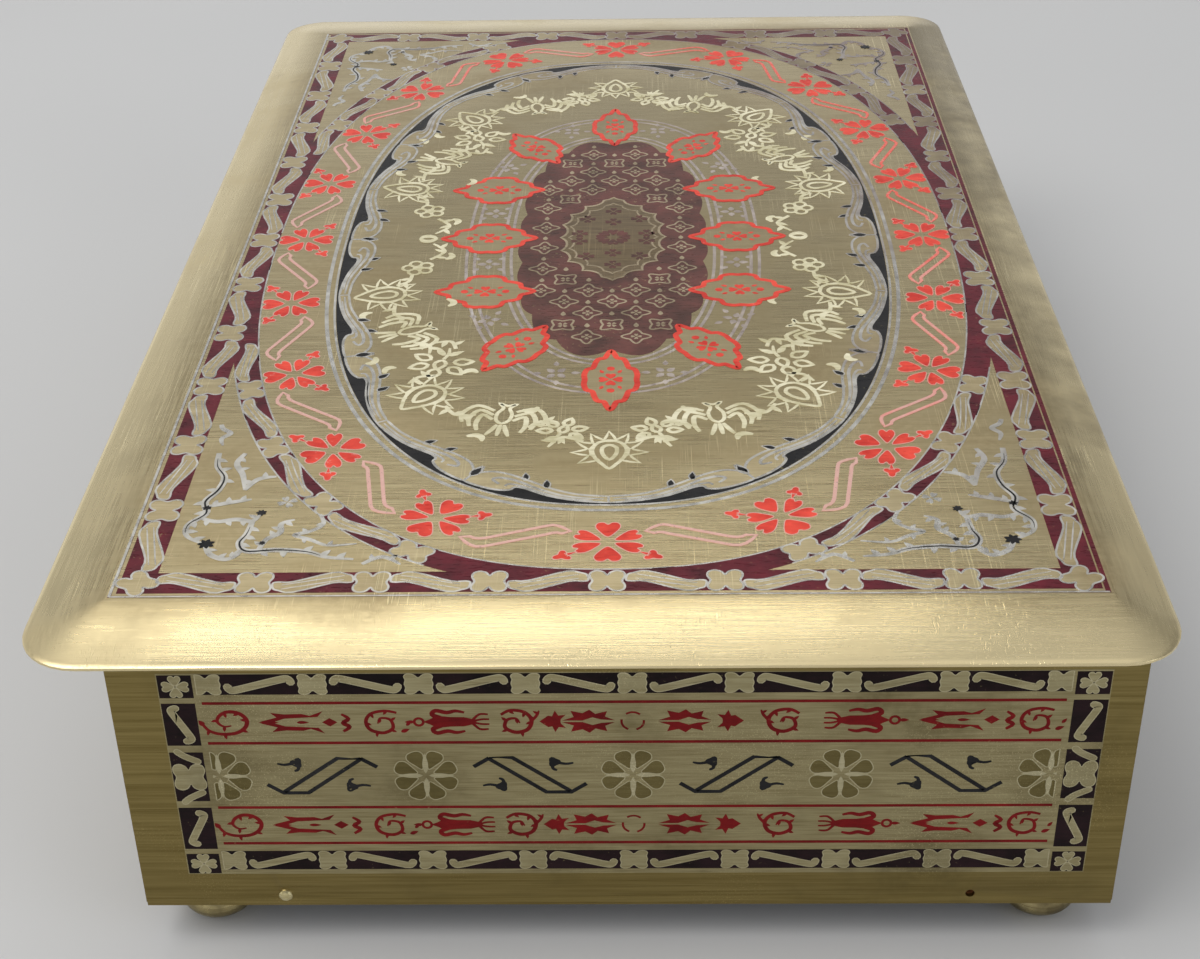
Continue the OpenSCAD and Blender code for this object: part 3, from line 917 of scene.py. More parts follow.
def plate_layers(half, pitches):
    """The shapes of a plate's pattern by colour. half is half the length of its inner part."""
    layers = {name: [] for name in ("etched", "dark", "red", "bright", "olive", "light", "black")}
    pitch = 2 * (half - 0.7) / pitches
    outer = half + Plate.gap + Plate.column + 0.1
    layers["etched"].append(filled(box_outline(-outer, Plate.field_low - 0.1, outer, Plate.field_high + 0.1)))
    bar = filled(s_bar(0.6 * pitch, 1.5, 0.8))
    block = filled(knot_block(2.9, 2.5))
    band_half = half + 0.35
    for low, high in Plate.bands:
        middle = (low + high) / 2
        layers["dark"].append(filled(box_outline(-band_half, low, band_half, high)))
        for k in range(pitches + 1):
            x = (k - pitches / 2) * pitch
            brass = moved([block], x)
            if k < pitches:
                brass += moved([bar], x + pitch / 2, flip=k % 2 == 1)
            brass = moved(trimmed(brass, band_half), (0, middle))
            layers["bright"] += brass
            layers["light"] += outlined(brass, 0.1)
    for y in Plate.red_lines:
        layers["red"].append(filled(box_outline(-half, y - 0.18, half, y + 0.18)))
    for y in Plate.friezes:
        layers["red"] += moved(frieze(half), (0, y))
    petals, strips = rosette_petals()
    for k in range(pitches // 2 + 1):
        x = (2 * k - pitches / 2) * pitch
        whole = moved(trimmed(moved(petals, x), half), (0, Plate.middle))
        layers["olive"] += whole
        layers["light"] += outlined(whole, 0.11)
        layers["light"] += moved(trimmed(moved(strips, x), half), (0, Plate.middle))
        if k < pitches // 2:
            slanted = mirrored(slanted_frame()) if k % 2 else slanted_frame()
            layers["black"] += moved(slanted, (x + pitch, Plate.middle))
    side_columns(layers, half + Plate.gap)
    return layers


def side_columns(layers, inner):
    """The boxes of dark enamel at both ends of a plate, from a distance of inner outwards."""
    middle = inner + Plate.column / 2
    floret = flower(4, 0.1, 1.35, 1.25)
    slant = [filled([p * 1j for p in s_bar(4.3, 1.7, 0.75)])]
    stub = [filled(ribbon(curve([(-0.9, 0.9), (-0.2, 0.3), (1.1, -0.4)], 3), 0.7))]
    for side in (1, -1):
        x0, x1 = sorted((side * inner, side * (inner + Plate.column)))
        for low, high in Plate.corner_boxes + Plate.bar_boxes + (Plate.knot_box,):
            layers["dark"].append(filled(box_outline(x0, low, x1, high)))
        brass = []
        for low, high in Plate.corner_boxes:
            brass += moved(floret, (side * middle, (low + high) / 2))
        for k, (low, high) in enumerate(Plate.bar_boxes):
            flip = (side > 0) != (k == 0)
            brass += moved(mirrored(slant) if flip else slant, (side * middle, (low + high) / 2))
        centre = complex(side * middle, sum(Plate.knot_box) / 2)
        brass += put(knot(3.3, 3.5), centre)
        for end in (1, -1):
            brass += moved(stub, centre + 2.5j * end, flip=end < 0)
        layers["bright"] += brass
        layers["light"] += outlined(brass, 0.1)


# ---------------------------------------------------------------- materials

class Look:
    """A material in the making: a shader, and the nodes that feed it."""

    def __init__(self, name, metallic=0.0, roughness=0.5, **sockets):
        self.material = bpy.data.materials.new(name)
        self.material.use_nodes = True
        self.tree = self.material.node_tree
        self.shader = self.tree.nodes["Principled BSDF"]
        for socket, value in {"Metallic": metallic, "Roughness": roughness, **sockets}.items():
            self.feed(socket.replace("_", " "), value)
        self.coords = self.node("TexCoord").outputs["Object"]

    def set(self, socket, value):
        if isinstance(value, bpy.types.NodeSocket):
            self.tree.links.new(value, socket)
        else:
            socket.default_value = value

    def feed(self, socket, value):
        self.set(self.shader.inputs[socket], value)

    def node(self, kind, **inputs):
        """A new node with its inputs set, or linked where the value is a socket."""
        node = self.tree.nodes.new("ShaderNode" + kind)
        for name, value in inputs.items():
            self.set(node.inputs[name.replace("_", " ")], value)
        return node

    def noise(self, size, detail=3.0, stretch=(1, 1, 1), turn=0.0, roughness=0.55):
        """Noise whose features are about size metres, longer along an axis with a stretch above 1."""
        mapping = self.node("Mapping", Scale=[1 / (size * s) for s in stretch], Rotation=(0, 0, turn),
                            Vector=self.coords)
        return self.node("TexNoise", Scale=1.0, Detail=detail, Roughness=roughness,
                         Vector=mapping.outputs["Vector"]).outputs["Fac"]

    def attribute(self, name):
        node = self.node("Attribute")
        node.attribute_name = name
        return node.outputs["Fac"]

    def axes(self):
        """The X, Y and Z of a point."""
        return self.node("SeparateXYZ", Vector=self.coords).outputs

    def range(self, value, low, high, start=0.0, end=1.0):
        """value from low to high as start to end, and no further."""
        return self.node("MapRange", Value=value, From_Min=low, From_Max=high, To_Min=start,
                         To_Max=end).outputs["Result"]

    def math(self, operation, a, b):
        node = self.node("Math")
        node.operation = operation
        self.set(node.inputs[0], a)
        self.set(node.inputs[1], b)
        return node.outputs[0]

    def add(self, a, b):
        return self.math("ADD", a, b)

    def times(self, a, b):
        return self.math("MULTIPLY", a, b)

    def mix(self, factor, a, b):
        """Colours, as three numbers or sockets, mixed by a factor."""
        node = self.node("Mix", Factor=factor)
        node.data_type = "RGBA"
        first, second = 6, 7
        for index, value in ((first, a), (second, b)):
            self.set(node.inputs[index], (*value, 1.0) if isinstance(value, tuple) else value)
        return node.outputs[2]

    def blend(self, factor, a, b):
        """Numbers, or sockets, mixed by a factor."""
        return self.node("Mix", Factor=factor, A=a, B=b).outputs["Result"]

    def bump(self, height, depth):
        self.feed("Normal", self.node("Bump", Distance=depth, Height=height, Strength=1.0).outputs["Normal"])


def painted_light_across_lid(look, low, high, end=1.0):
    """0 at the lid's front left to end at its far right, with an uneven limit: the mask of painted light
    across the lid, a painted sheen at the front left and painted shade towards the far right.
    """
    x, y, _ = look.axes()
    across = look.add(look.times(x, 8.0), look.times(y, 5.0))
    spots = look.add(look.noise(0.004, 4.0), look.noise(0.02, 1.0))
    return look.range(look.add(across, spots), low, high, 0.0, end)


def brighter(colour, share):
    return tuple(min(1.0, share * c) for c in colour)


def brushed_brass(name, dull, clean, roughness=(0.26, 0.42), grain=(60, 1, 1), scuffs=0.5,
                  tarnish=(0.1, 0.08, 0.03), tarnished=0.5, turned_grain=None, worn_edge=False,
                  painted_shade_colour=None, dull_middle=None):
    """Brass with fine brush lines along the stretched axis, scratches, and brown tarnish in patches.

    turned_grain is the brush lines' stretch where the mesh's attribute "side" is 1, and worn_edge polishes
    the brass towards where the attribute "edge" is 1. The colour given for the lid's far right is painted
    shade that darkens the brass towards there, and dull_middle tints it inside the lid's black ring."""
    look = Look(name, metallic=1.0)
    lines = look.noise(0.0002, 3.0, grain)
    if turned_grain:
        lines = look.blend(look.attribute("side"), lines, look.noise(0.0002, 3.0, turned_grain))
    streaks = look.noise(0.0012, 3.0, tuple(0.3 * s if s > 1 else 1 for s in grain))
    patches = look.noise(0.018, 4.0)
    speckle = look.noise(0.0009, 2.0)
    scratches = [look.range(look.noise(0.00016, 0.0, (1, 90, 1), turn), 0.72, 0.78)
                 for turn in (0.5, -0.9, 1.75)]
    scratch = look.math("MAXIMUM", look.math("MAXIMUM", scratches[0], scratches[1]), scratches[2])
    scratch = look.times(scratch, look.range(look.noise(0.012, 1.0), 0.5, 0.66, 0.0, scuffs))
    shade = look.add(look.range(lines, 0.3, 0.7, 0.0, 0.72), look.range(streaks, 0.35, 0.65, 0.0, 0.28))
    colour = look.mix(shade, dull, clean)
    stain = look.times(look.range(patches, 0.5, 0.72), look.range(speckle, 0.35, 0.6, 0.6, 1.0))
    colour = look.mix(look.times(stain, tarnished), colour, tarnish)
    colour = look.mix(scratch, colour, brighter(clean, 1.5))
    rough = look.range(look.add(lines, look.times(patches, 0.5)), 0.5, 1.0, *roughness)
    rough = look.add(rough, look.times(stain, 0.12))
    if worn_edge:
        edge = look.add(look.attribute("edge"), look.times(patches, 0.4))
        polish = look.range(edge, 0.25, 0.75, 0.0, 0.75)
        colour = look.mix(polish, colour, brighter(clean, 1.3))
        rough = look.math("SUBTRACT", rough, look.times(polish, 0.05))
    if dull_middle:
        x, y = (look.times(axis, 1 / (half * MM)) for axis, half in zip(look.axes(), Lid.black_line))
        reach = look.add(look.times(x, x), look.times(y, y))
        colour = look.mix(look.range(reach, 0.75, 1.0, 0.38, 0.0), colour, dull_middle)
    # Painted shade: darker towards the lid's far right; on the lid sheet, where the grain turns, only on its
    # side rims.
    if painted_shade_colour:
        shade_share = painted_light_across_lid(look, 1.1, 1.75, 0.8)
        if turned_grain:
            shade_share = look.times(shade_share, look.attribute("side"))
        colour = look.mix(shade_share, colour, painted_shade_colour)
    look.feed("Base Color", colour)
    look.feed("Roughness", rough)
    look.bump(look.math("SUBTRACT", lines, look.times(scratch, 1.5)), 0.000012)
    return look.material


def enamel(name, deep, bright, roughness=0.34, worn=0.5, under=(0.5, 0.42, 0.2), gloss=0.22):
    """Enamel with uneven colour, a slightly grainy gloss, and tiny spots where the metal shows."""
    look = Look(name, roughness=roughness, Specular_IOR_Level=gloss)
    cloud = look.noise(0.004, 4.0)
    grain = look.noise(0.00035, 3.0, (4, 1, 1))
    colour = look.mix(look.range(look.add(cloud, look.times(grain, 0.5)), 0.55, 0.95), deep, bright)
    spots = look.times(look.range(look.noise(0.0005, 2.0), 0.66, 0.72),
                       look.range(look.noise(0.009, 2.0), 0.45, 0.62, 0.0, worn))
    look.feed("Base Color", look.mix(spots, colour, under))
    look.feed("Metallic", spots)
    look.feed("Roughness", look.range(grain, 0.3, 0.7, roughness - 0.08, roughness + 0.14))
    look.bump(look.add(grain, look.times(cloud, 2.0)), 0.000012)
    return look.material


def red_with_painted_sheen(name):
    """Red enamel on thin lines, drawn pale pink and partly metallic towards the lid's front left as a painted
    sheen there.
    """
    look = Look(name, roughness=0.34, Specular_IOR_Level=0.3)
    left = painted_light_across_lid(look, 0.85, 1.45)
    colour = look.mix(left, (0.84, 0.50, 0.43), (0.84, 0.13, 0.09))
    grain = look.noise(0.0004, 3.0)
    look.feed("Base Color", look.mix(look.range(grain, 0.5, 0.7, 0.0, 0.45), colour, (0.9, 0.6, 0.55)))
    look.feed("Metallic", look.range(left, 0.0, 0.6, 0.45, 0.0))
    look.feed("Roughness", look.range(grain, 0.3, 0.7, 0.26, 0.42))
    look.bump(grain, 0.000012)
    return look.material


def cedar(name, along):
    """Reddish wood with its grain along an axis, 0 for x, 1 for y, 2 for z."""
    look = Look(name, roughness=0.6, Specular_IOR_Level=0.35)
    stretch = tuple(34 if axis == along else 1 for axis in range(3))
    rings = look.noise(0.0036, 2.0, stretch)
    fibre = look.noise(0.00035, 3.0, tuple(1.6 * s if s > 1 else 1 for s in stretch))
    band = look.math("PINGPONG", look.times(rings, 9.0), 1.0)
    tone = look.add(look.times(band, 0.55), look.times(fibre, 0.6))
    colour = look.mix(look.range(tone, 0.2, 1.0), (0.33, 0.135, 0.055), (0.56, 0.29, 0.135))
    knots = look.range(look.noise(0.03, 2.0), 0.6, 0.72, 0.0, 0.35)
    look.feed("Base Color", look.mix(knots, colour, (0.2, 0.07, 0.03)))
    look.feed("Roughness", look.range(fibre, 0.3, 0.7, 0.5, 0.72))
    look.bump(tone, 0.00006)
    return look.material


def felt(name):
    """Dark fibrous cloth with lighter tufts."""
    look = Look(name, roughness=0.95, Sheen_Weight=0.4, Sheen_Roughness=0.5)
    fibres = look.noise(0.0004, 5.0, roughness=0.7)
    tufts = look.noise(0.003, 3.0)
    colour = look.mix(look.range(fibres, 0.3, 0.7), (0.012, 0.012, 0.013), (0.05, 0.047, 0.045))
    look.feed("Base Color", look.mix(look.range(tufts, 0.5, 0.75, 0.0, 0.4), colour, (0.075, 0.068, 0.06)))
    look.bump(look.add(fibres, look.times(tufts, 0.5)), 0.0002)
    return look.material


def turned_brass(name):
    """Old turned brass, brown in its dips."""
    look = Look(name, metallic=1.0)
    lines = look.noise(0.0002, 2.0, (30, 30, 1))
    stain = look.range(look.noise(0.003, 4.0), 0.42, 0.66)
    colour = look.mix(look.range(lines, 0.3, 0.7), (0.3, 0.24, 0.11), (0.46, 0.39, 0.2))
    look.feed("Base Color", look.mix(look.times(stain, 0.7), colour, (0.11, 0.085, 0.045)))
    look.feed("Roughness", look.range(look.add(lines, stain), 0.4, 1.4, 0.22, 0.46))
    look.bump(lines, 0.000015)
    return look.material


def plain_floor(name):
    """A pale matt surface, very slightly uneven."""
    look = Look(name, roughness=0.7)
    clouds = look.range(look.noise(0.2, 2.0), 0.3, 0.7)
    look.feed("Base Color", look.mix(clouds, (0.60, 0.605, 0.61), (0.63, 0.635, 0.64)))
    return look.material


STAINED = {"tarnish": (0.26, 0.18, 0.085), "tarnished": 0.6, "dull_middle": (0.30, 0.24, 0.12)}
# The colours for the lid's far right given to lid_brass, island_brass and silver are painted shade.
lid_brass = brushed_brass("lid_brass", (0.50, 0.40, 0.215), (0.68, 0.575, 0.34), (0.22, 0.36), (34, 1, 1),
                          scuffs=0.8, turned_grain=(1, 34, 1), worn_edge=True, painted_shade_colour=(0.25, 0.20, 0.11),
                          **STAINED)
island_brass = brushed_brass("lid_island_brass", (0.52, 0.42, 0.23), (0.72, 0.61, 0.38), (0.28, 0.42),
                             (26, 1, 1),
                             painted_shade_colour=(0.29, 0.22, 0.15), **STAINED)
brown_brass = brushed_brass("medallion_brass", (0.17, 0.115, 0.065), (0.33, 0.25, 0.14), (0.28, 0.42),
                            (20, 1, 1))
# The plates' brass is far darker than the lid's: painted shade, standing in for dark surroundings reflected
# in the upright plates.
plate_brass_painted_shade = brushed_brass("plate_brass_painted_shade", (0.17, 0.125, 0.040), (0.29, 0.225, 0.085), (0.26, 0.40),
                            (60, 60, 1))
etched_brass = brushed_brass("etched_brass", (0.25, 0.205, 0.10), (0.43, 0.375, 0.21), (0.36, 0.50),
                             (28, 28, 1),
                             tarnish=(0.11, 0.085, 0.035), tarnished=0.7)
relief_brass = brushed_brass("relief_brass", (0.30, 0.255, 0.13), (0.47, 0.42, 0.25), (0.34, 0.48),
                             (20, 20, 1),
                             tarnish=(0.13, 0.105, 0.05))
olive_brass = brushed_brass("olive_brass", (0.14, 0.11, 0.042), (0.22, 0.18, 0.075), (0.4, 0.55), (20, 20, 1))
light_brass = brushed_brass("light_brass", (0.42, 0.375, 0.22), (0.60, 0.545, 0.36), (0.28, 0.42),
                            (10, 10, 1),
                            tarnished=0.2)
silver = brushed_brass("bare_silver", (0.58, 0.56, 0.50), (0.90, 0.88, 0.83), (0.20, 0.34), (8, 8, 1),
                       tarnished=0.12, painted_shade_colour=(0.36, 0.26, 0.23))
rose_brass = brushed_brass("rose_brass", (0.50, 0.41, 0.36), (0.82, 0.72, 0.65), (0.24, 0.38), (8, 8, 1),
                           tarnished=0.3)
nail_brass = brushed_brass("nail_brass", (0.5, 0.42, 0.2), (0.72, 0.64, 0.38), (0.18, 0.32), (2, 2, 1),
                           tarnished=0.3)
# Red lines with a painted sheen: pale pink towards the lid's front left.
sheen_pink = red_with_painted_sheen("red_with_painted_sheen")
cream = enamel("cream_enamel", (0.55, 0.50, 0.29), (0.90, 0.85, 0.62), 0.38, 0.5, (0.75, 0.7, 0.5))
tan = enamel("tan_enamel", (0.23, 0.18, 0.11), (0.44, 0.36, 0.24), 0.36, 0.5)
maroon = enamel("maroon_enamel", (0.055, 0.004, 0.009), (0.15, 0.010, 0.022), 0.30, 0.35)
field_maroon = enamel("field_enamel", (0.07, 0.030, 0.022), (0.16, 0.054, 0.044), 0.32, 0.6)
black = enamel("black_enamel", (0.006, 0.006, 0.007), (0.020, 0.019, 0.020), 0.32, 0.4, gloss=0.15)
plum = enamel("plum_enamel", (0.006, 0.003, 0.003), (0.020, 0.008, 0.010), 0.42, 0.2, gloss=0.1)
scarlet = enamel("scarlet_enamel", (0.60, 0.030, 0.018), (0.92, 0.085, 0.05), 0.34, 0.35, (0.9, 0.6, 0.5))
crimson = enamel("crimson_enamel", (0.12, 0.004, 0.005), (0.21, 0.008, 0.009), 0.42, 0.2, gloss=0.1)
foot_brass = turned_brass("foot_brass")


# ---------------------------------------------------------------- ornament on the box

def draw_lid_border(maroons, brass, lines):
    """The straight frame: two maroon bands, knots and bars on one, a worn line on the other."""
    half_x, half_y = Lid.border
    edge_x, edge_y = Lid.edge
    reach = Lid.border_width / 2
    for (out_x, out_y), (in_x, in_y) in (((half_x + reach, half_y + reach), (half_x - reach, half_y - reach)),
                                         ((edge_x, edge_y), (edge_x - 0.3, edge_y - 0.3))):
        maroons.strip(box_outline(-out_x, -out_y, out_x, out_y), box_outline(-in_x, -in_y, in_x, in_y),
                      GROUND)
    x, y = edge_x - 0.12, edge_y - 0.12
    maroons.draw([drawn([(x - 0.15, -y), (x - 0.15, y)], 0.5)], GROUND)
    lines.draw([drawn([(-x, y), (-x, -y)], 0.3), drawn([(-x, -y), (x, -y)], 0.22)], LINE)
    shapes, ribs = lid_border()
    brass.draw(shapes, ISLAND)
    lines.draw(outlined(shapes) + ribs, LINE)


def draw_lid_oval(maroons, brass, lines):
    """The maroon oval with its knots and bars, and silver edges where it is clear of the straight frame."""
    steps, piece_steps = 720, 4
    track = Track(oval(*Lid.oval_middle), steps)
    points = [track.at(track.length * k / steps) for k in range(steps)]
    reach = Lid.oval_width / 2
    inner, outer = ([p + 1j * d * side for p, d in points] for side in (reach, -reach))
    maroons.strip(outer, inner, UNDER)
    shapes, ribs = oval_band()
    brass.draw(shapes, ISLAND)
    for edge in (inner, outer):
        loop = edge + edge[:1]
        pieces = [drawn(loop[k:k + piece_steps + 1], 0.2) for k in range(0, steps, piece_steps)]
        lines.draw(clear_of_border(pieces), UNDER)
    lines.draw(outlined(shapes) + ribs, LINE)


def lobed_field():
    """The centre field's outline: an oval cut into lobes by shallow notches."""
    steps, notch = 12, 0.055
    edge = oval(*Lid.field, steps=steps * Lid.field_lobes, power=2.7)
    return [p * (1 - notch * (1 - abs(math.sin(math.pi * k / steps)))) for k, p in enumerate(edge)]


def build_lid_ornament():
    """The lid's carpet of ornament, from its border to its middle."""
    low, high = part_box("lid_plate")
    middle = ((low[0] + high[0]) / 2 + LidSheet.panel_offset * MM, (low[1] + high[1]) / 2, high[2])
    face = Face(middle, (1, 0, 0), (0, 1, 0))
    inlays = {name: Inlay(name, face) for name in (
        "lid_maroon_frame", "lid_black_ring", "lid_centre_field", "lid_red_flowers", "lid_brass_relief",
        "lid_medallion", "lid_silver_lines", "lid_rose_lines", "lid_pink_lines", "lid_cream_vines",
        "lid_tan_net")}
    maroons, blacks, field, reds, brass, centre, lines, roses, pinks, vines, net = inlays.values()

    draw_lid_border(maroons, brass, lines)
    draw_lid_oval(maroons, brass, lines)
    blooms, bars = flower_ring()
    reds.draw(blooms, ISLAND)
    pinks.draw(bars + outlined(blooms, 0.11), LINE)

    silver_x, silver_y = Lid.silver_line
    lines.draw([ring(oval(silver_x, silver_y), 0.5), ring(oval(silver_x - 1.0, silver_y - 1.0), 0.3)], LINE)
    outer, edge, (scrolls, scroll_lines, thorns) = black_ring()
    blacks.strip(outer, edge, GROUND)
    brass.draw(scrolls, ISLAND)
    lines.draw(outlined(scrolls, 0.34) + scroll_lines, LINE)
    blacks.draw(thorns, LINE)
    lines.draw(outlined(thorns, 0.16), TOP)

    vines.draw(vine_ring(), LINE)
    frames, marks = cartouches()
    brass.draw(frames, ISLAND)
    reds.draw(outlined(frames, 0.72) + marks, LINE)
    for size in Lid.outer_lines + Lid.inner_lines:
        roses.draw([ring(oval(*size), 0.42)], UNDER)
    roses.draw(florets(), UNDER)

    field.fill(lobed_field(), GROUND)
    net.draw(field_net(), UNDER)
    core = medallion()
    centre.draw([filled(core)], ISLAND)
    net.draw([ring(core, 0.34), ring([p * 0.85 for p in core], 0.26)], LINE)
    field.draw(medallion_marks(), LINE)

    stems, blots = spandrel()
    lines.draw(four_ways(stems), LINE)
    blacks.draw(four_ways(blots), TOP)
    thick = 0.8
    cores = [Shape(s.path[3:-8], (0.05, 0.24, 0.05), False) for s in stems if s.width and s.width[1] > thick]
    blacks.draw(four_ways(cores), TOP)

    for piece, look, slot, nodes in ((maroons, maroon, "maroon_enamel", ["lid_frame_enamel"]),
                                     (blacks, black, "dark_enamel", ["lid_black_enamel"]),
                                     (field, field_maroon, "maroon_enamel", ["lid_medallion_enamel"]),
                                     (reds, scarlet, "red_enamel", ["lid_red_enamel"]),
                                     (brass, island_brass, "etched_brass", []),
                                     (centre, brown_brass, "etched_brass", []),
                                     (lines, silver, "bright_brass", []),
                                     (roses, rose_brass, "bright_brass", []),
                                     (pinks, sheen_pink, "red_enamel", []),
                                     (vines, cream, "bright_brass", []),
                                     (net, tan, "bright_brass", [])):
        piece.build(look, "lid", slot, nodes)


def build_plate_ornament(name, face, half, pitches):
    """One piece for each colour of a plate's pattern."""
    looks = {"etched": (etched_brass, "etched_brass", GROUND, []),
             "dark": (plum, "dark_enamel", UNDER, [name + "_dark_enamel"]),
             "red": (crimson, "red_enamel", UNDER, [name + "_red_enamel"]),
             "black": (black, "dark_enamel", UNDER, []),
             "bright": (relief_brass, "etched_brass", ISLAND, []),
             "olive": (olive_brass, "etched_brass", UNDER, []),
             "light": (light_brass, "bright_brass", LINE, [])}
    for colour, shapes in plate_layers(half, pitches).items():
        look, slot, level, nodes = looks[colour]
        piece = Inlay(f"{name}_{colour}_inlay", face)
        piece.draw(shapes, level)
        piece.build(look, "box", slot, nodes)


# ---------------------------------------------------------------- solid pieces

class LidSheet:
    """The lid's brass sheet, in mm: a flat panel and a rim that curves down around it."""
    panel_offset = 0.8
    rim_x, rim_y = 6.75, 9.85
    drop, power = 1.2, 1.4
    corner = 6.5
    thickness = 0.5
    edge_round = 0.12
    across = (0, 0.03, 0.08, 0.16, 0.26, 0.38, 0.5, 0.62, 0.74, 0.85, 0.93, 1)


def rim_ring(half_x, half_y, t, inset=0.0, arc_steps=8):
    """The sheet's outline at t, 0 at the panel and 1 at the rim, as (x, y, how much it faces sideways)."""
    s = LidSheet
    radius = s.corner * t + 0.05
    width = half_x - s.rim_x * (1 - t) - radius
    depth = half_y - s.rim_y * (1 - t) - radius
    points = []
    for corner, (sx, sy) in enumerate(((1, 1), (-1, 1), (-1, -1), (1, -1))):
        for i in range(arc_steps + 1):
            angle = math.pi / 2 * (corner + i / arc_steps)
            points.append((sx * width + (radius - inset) * math.cos(angle) + s.panel_offset * (1 - t),
                           sy * depth + (radius - inset) * math.sin(angle), abs(math.cos(angle)) ** 2))
    return points


def build_lid_sheet():
    """The sheet as rings of points from the panel out to the rim, round its edge and back underneath."""
    s = LidSheet
    half_x, half_y, top = (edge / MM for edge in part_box("lid_plate")[1])
    rings = []
    for t in s.across:
        z = top - s.drop * t ** s.power
        inset = s.edge_round if t == 1 else 0
        rings.append([(x, y, z, side, t) for x, y, side in rim_ring(half_x, half_y, t, inset)])
    edge = rim_ring(half_x, half_y, 1)
    for down in (s.edge_round, s.thickness - s.edge_round):
        rings.append([(x, y, top - s.drop - down, side, 1) for x, y, side in edge])
    rings += [[(x, y, z - s.thickness, side, 0.3) for x, y, z, side, _ in loop]
              for loop in rings[len(s.across) - 1::-1]]
    verts = [Vector(p[:3]) * MM for loop in rings for p in loop]
    n = len(rings[0])
    faces = [list(range(n))]
    for k in range(len(rings) - 1):
        for i in range(n):
            j = (i + 1) % n
            faces.append((k * n + i, k * n + n + i, k * n + n + j, k * n + j))
    faces.append([(len(rings) - 1) * n + i for i in range(n - 1, -1, -1)])
    piece = new_piece("lid_sheet", verts, faces, lid_brass, "lid", smooth=True)
    mesh = piece.data
    flat_panels = (mesh.polygons[0], mesh.polygons[len(faces) - 1])
    points = [p for loop in rings for p in loop]
    for name, value in (("side", 3), ("edge", 4)):
        attribute = mesh.attributes.new(name, "FLOAT", "CORNER")
        for loop in mesh.loops:
            attribute.data[loop.index].value = points[loop.vertex_index][value]
        for polygon in flat_panels:
            for i in polygon.loop_indices:
                attribute.data[i].value = 0.0
    mesh.set_sharp_from_angle(angle=math.radians(35))
    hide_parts("lid_plate")


def softened(node, width, look, body):
    """A copy of a CAD solid with its sharp edges rounded off, in the CAD solid's place."""
    shape = bmesh.new()
    shape.from_mesh(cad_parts[node].data)
    bmesh.ops.remove_doubles(shape, verts=shape.verts, dist=1e-7)
    bmesh.ops.dissolve_limit(shape, angle_limit=math.radians(1), verts=shape.verts, edges=shape.edges)
    sharp = [e for e in shape.edges if len(e.link_faces) == 2 and e.calc_face_angle() > math.radians(50)]
    bmesh.ops.bevel(shape, geom=sharp, offset=width * MM, segments=2, profile=0.6, affect="EDGES",
                    clamp_overlap=True)
    mesh = bpy.data.meshes.new(node + "_finished")
    shape.to_mesh(mesh)
    shape.free()
    piece = finish_piece(node + "_finished", mesh, look, body, smooth=True)
    mesh.set_sharp_from_angle(angle=math.radians(25))
    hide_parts(node)


def lathed(name, middle, profile, look, body, steps=48):
    """A solid turned about a vertical line, from its profile of (radius, height) in mm from the bottom up."""
    verts, faces = [Vector((0, 0, profile[0][1]))], []
    for radius, height in profile:
        verts += [Vector((radius * math.cos(a), radius * math.sin(a), height))
                  for a in (math.tau * k / steps for k in range(steps))]
    verts.append(Vector((0, 0, profile[-1][1])))
    for i in range(steps):
        j = (i + 1) % steps
        faces.append((0, 1 + j, 1 + i))
        for k in range(len(profile) - 1):
            a, b = 1 + k * steps, 1 + (k + 1) * steps
            faces.append((a + i, a + j, b + j, b + i))
        last = 1 + (len(profile) - 1) * steps
        faces.append((len(verts) - 1, last + i, last + j))
    piece = new_piece(name, [v * MM + middle for v in verts], faces, look, body, smooth=True)
    piece.data.set_sharp_from_angle(angle=math.radians(40))
    return piece


def build_feet():
    for node in ("foot_front_left", "foot_front_right", "foot_back_left", "foot_back_right"):
        low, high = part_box(node)
        middle = Vector(((low[0] + high[0]) / 2, (low[1] + high[1]) / 2, low[2]))
        radius, height = (high[0] - low[0]) / 2 / MM, (high[2] - low[2]) / MM
        bun = 0.88 * height
        profile = [(0.42 * radius, 0)]
        for k in range(1, 12):
            angle = math.pi * (k / 12 - 0.5) * 0.94
            out, up = radius * math.cos(angle) ** 0.8, bun * (0.5 + 0.5 * math.sin(angle))
            if abs(k - 6) == 3:
                profile.append((out - 0.13, up - 0.04))
            profile.append((out, up))
        profile += [(0.6 * radius, bun), (0.6 * radius, height - 0.08), (0.58 * radius, height)]
        piece = lathed(node + "_turned", middle, profile, foot_brass, "box")
        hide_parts(node)


def build_felt():
    """The felt under the box: a thin sheet with a slightly ragged cut edge."""
    low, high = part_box("base_felt")
    width, length = high[0] - low[0], high[1] - low[1]
    middle = (low + high) / 2
    thick = high[2] - low[2]
    outline = []
    corners = [(-1, -1), (1, -1), (1, 1), (-1, 1)]
    for (ax, ay), (bx, by) in zip(corners, corners[1:] + corners[:1]):
        for k in range(60):
            t = k / 60
            x = (ax + (bx - ax) * t) * width / 2
            y = (ay + (by - ay) * t) * length / 2
            ragged = 1 - 0.0012 * (1 + math.sin(37 * x / 0.01 + 5 * ax) * math.sin(23 * y / 0.01 + by))
            outline.append((x * ragged, y * ragged))
    levels = ((0.5, 0.994), (0.38, 1), (-0.38, 1), (-0.5, 0.994))
    verts = [Vector((middle[0] + x * inset, middle[1] + y * inset, middle[2] + thick * level))
             for level, inset in levels for x, y in outline]
    n = len(outline)
    faces = [list(range(n)), list(range(4 * n - 1, 3 * n - 1, -1))]
    for k in range(3):
        for i in range(n):
            j = (i + 1) % n
            faces.append((k * n + j, k * n + i, (k + 1) * n + i, (k + 1) * n + j))
    piece = new_piece("felt_sheet", verts, faces, felt("black_felt"), "box")
    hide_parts("base_felt")


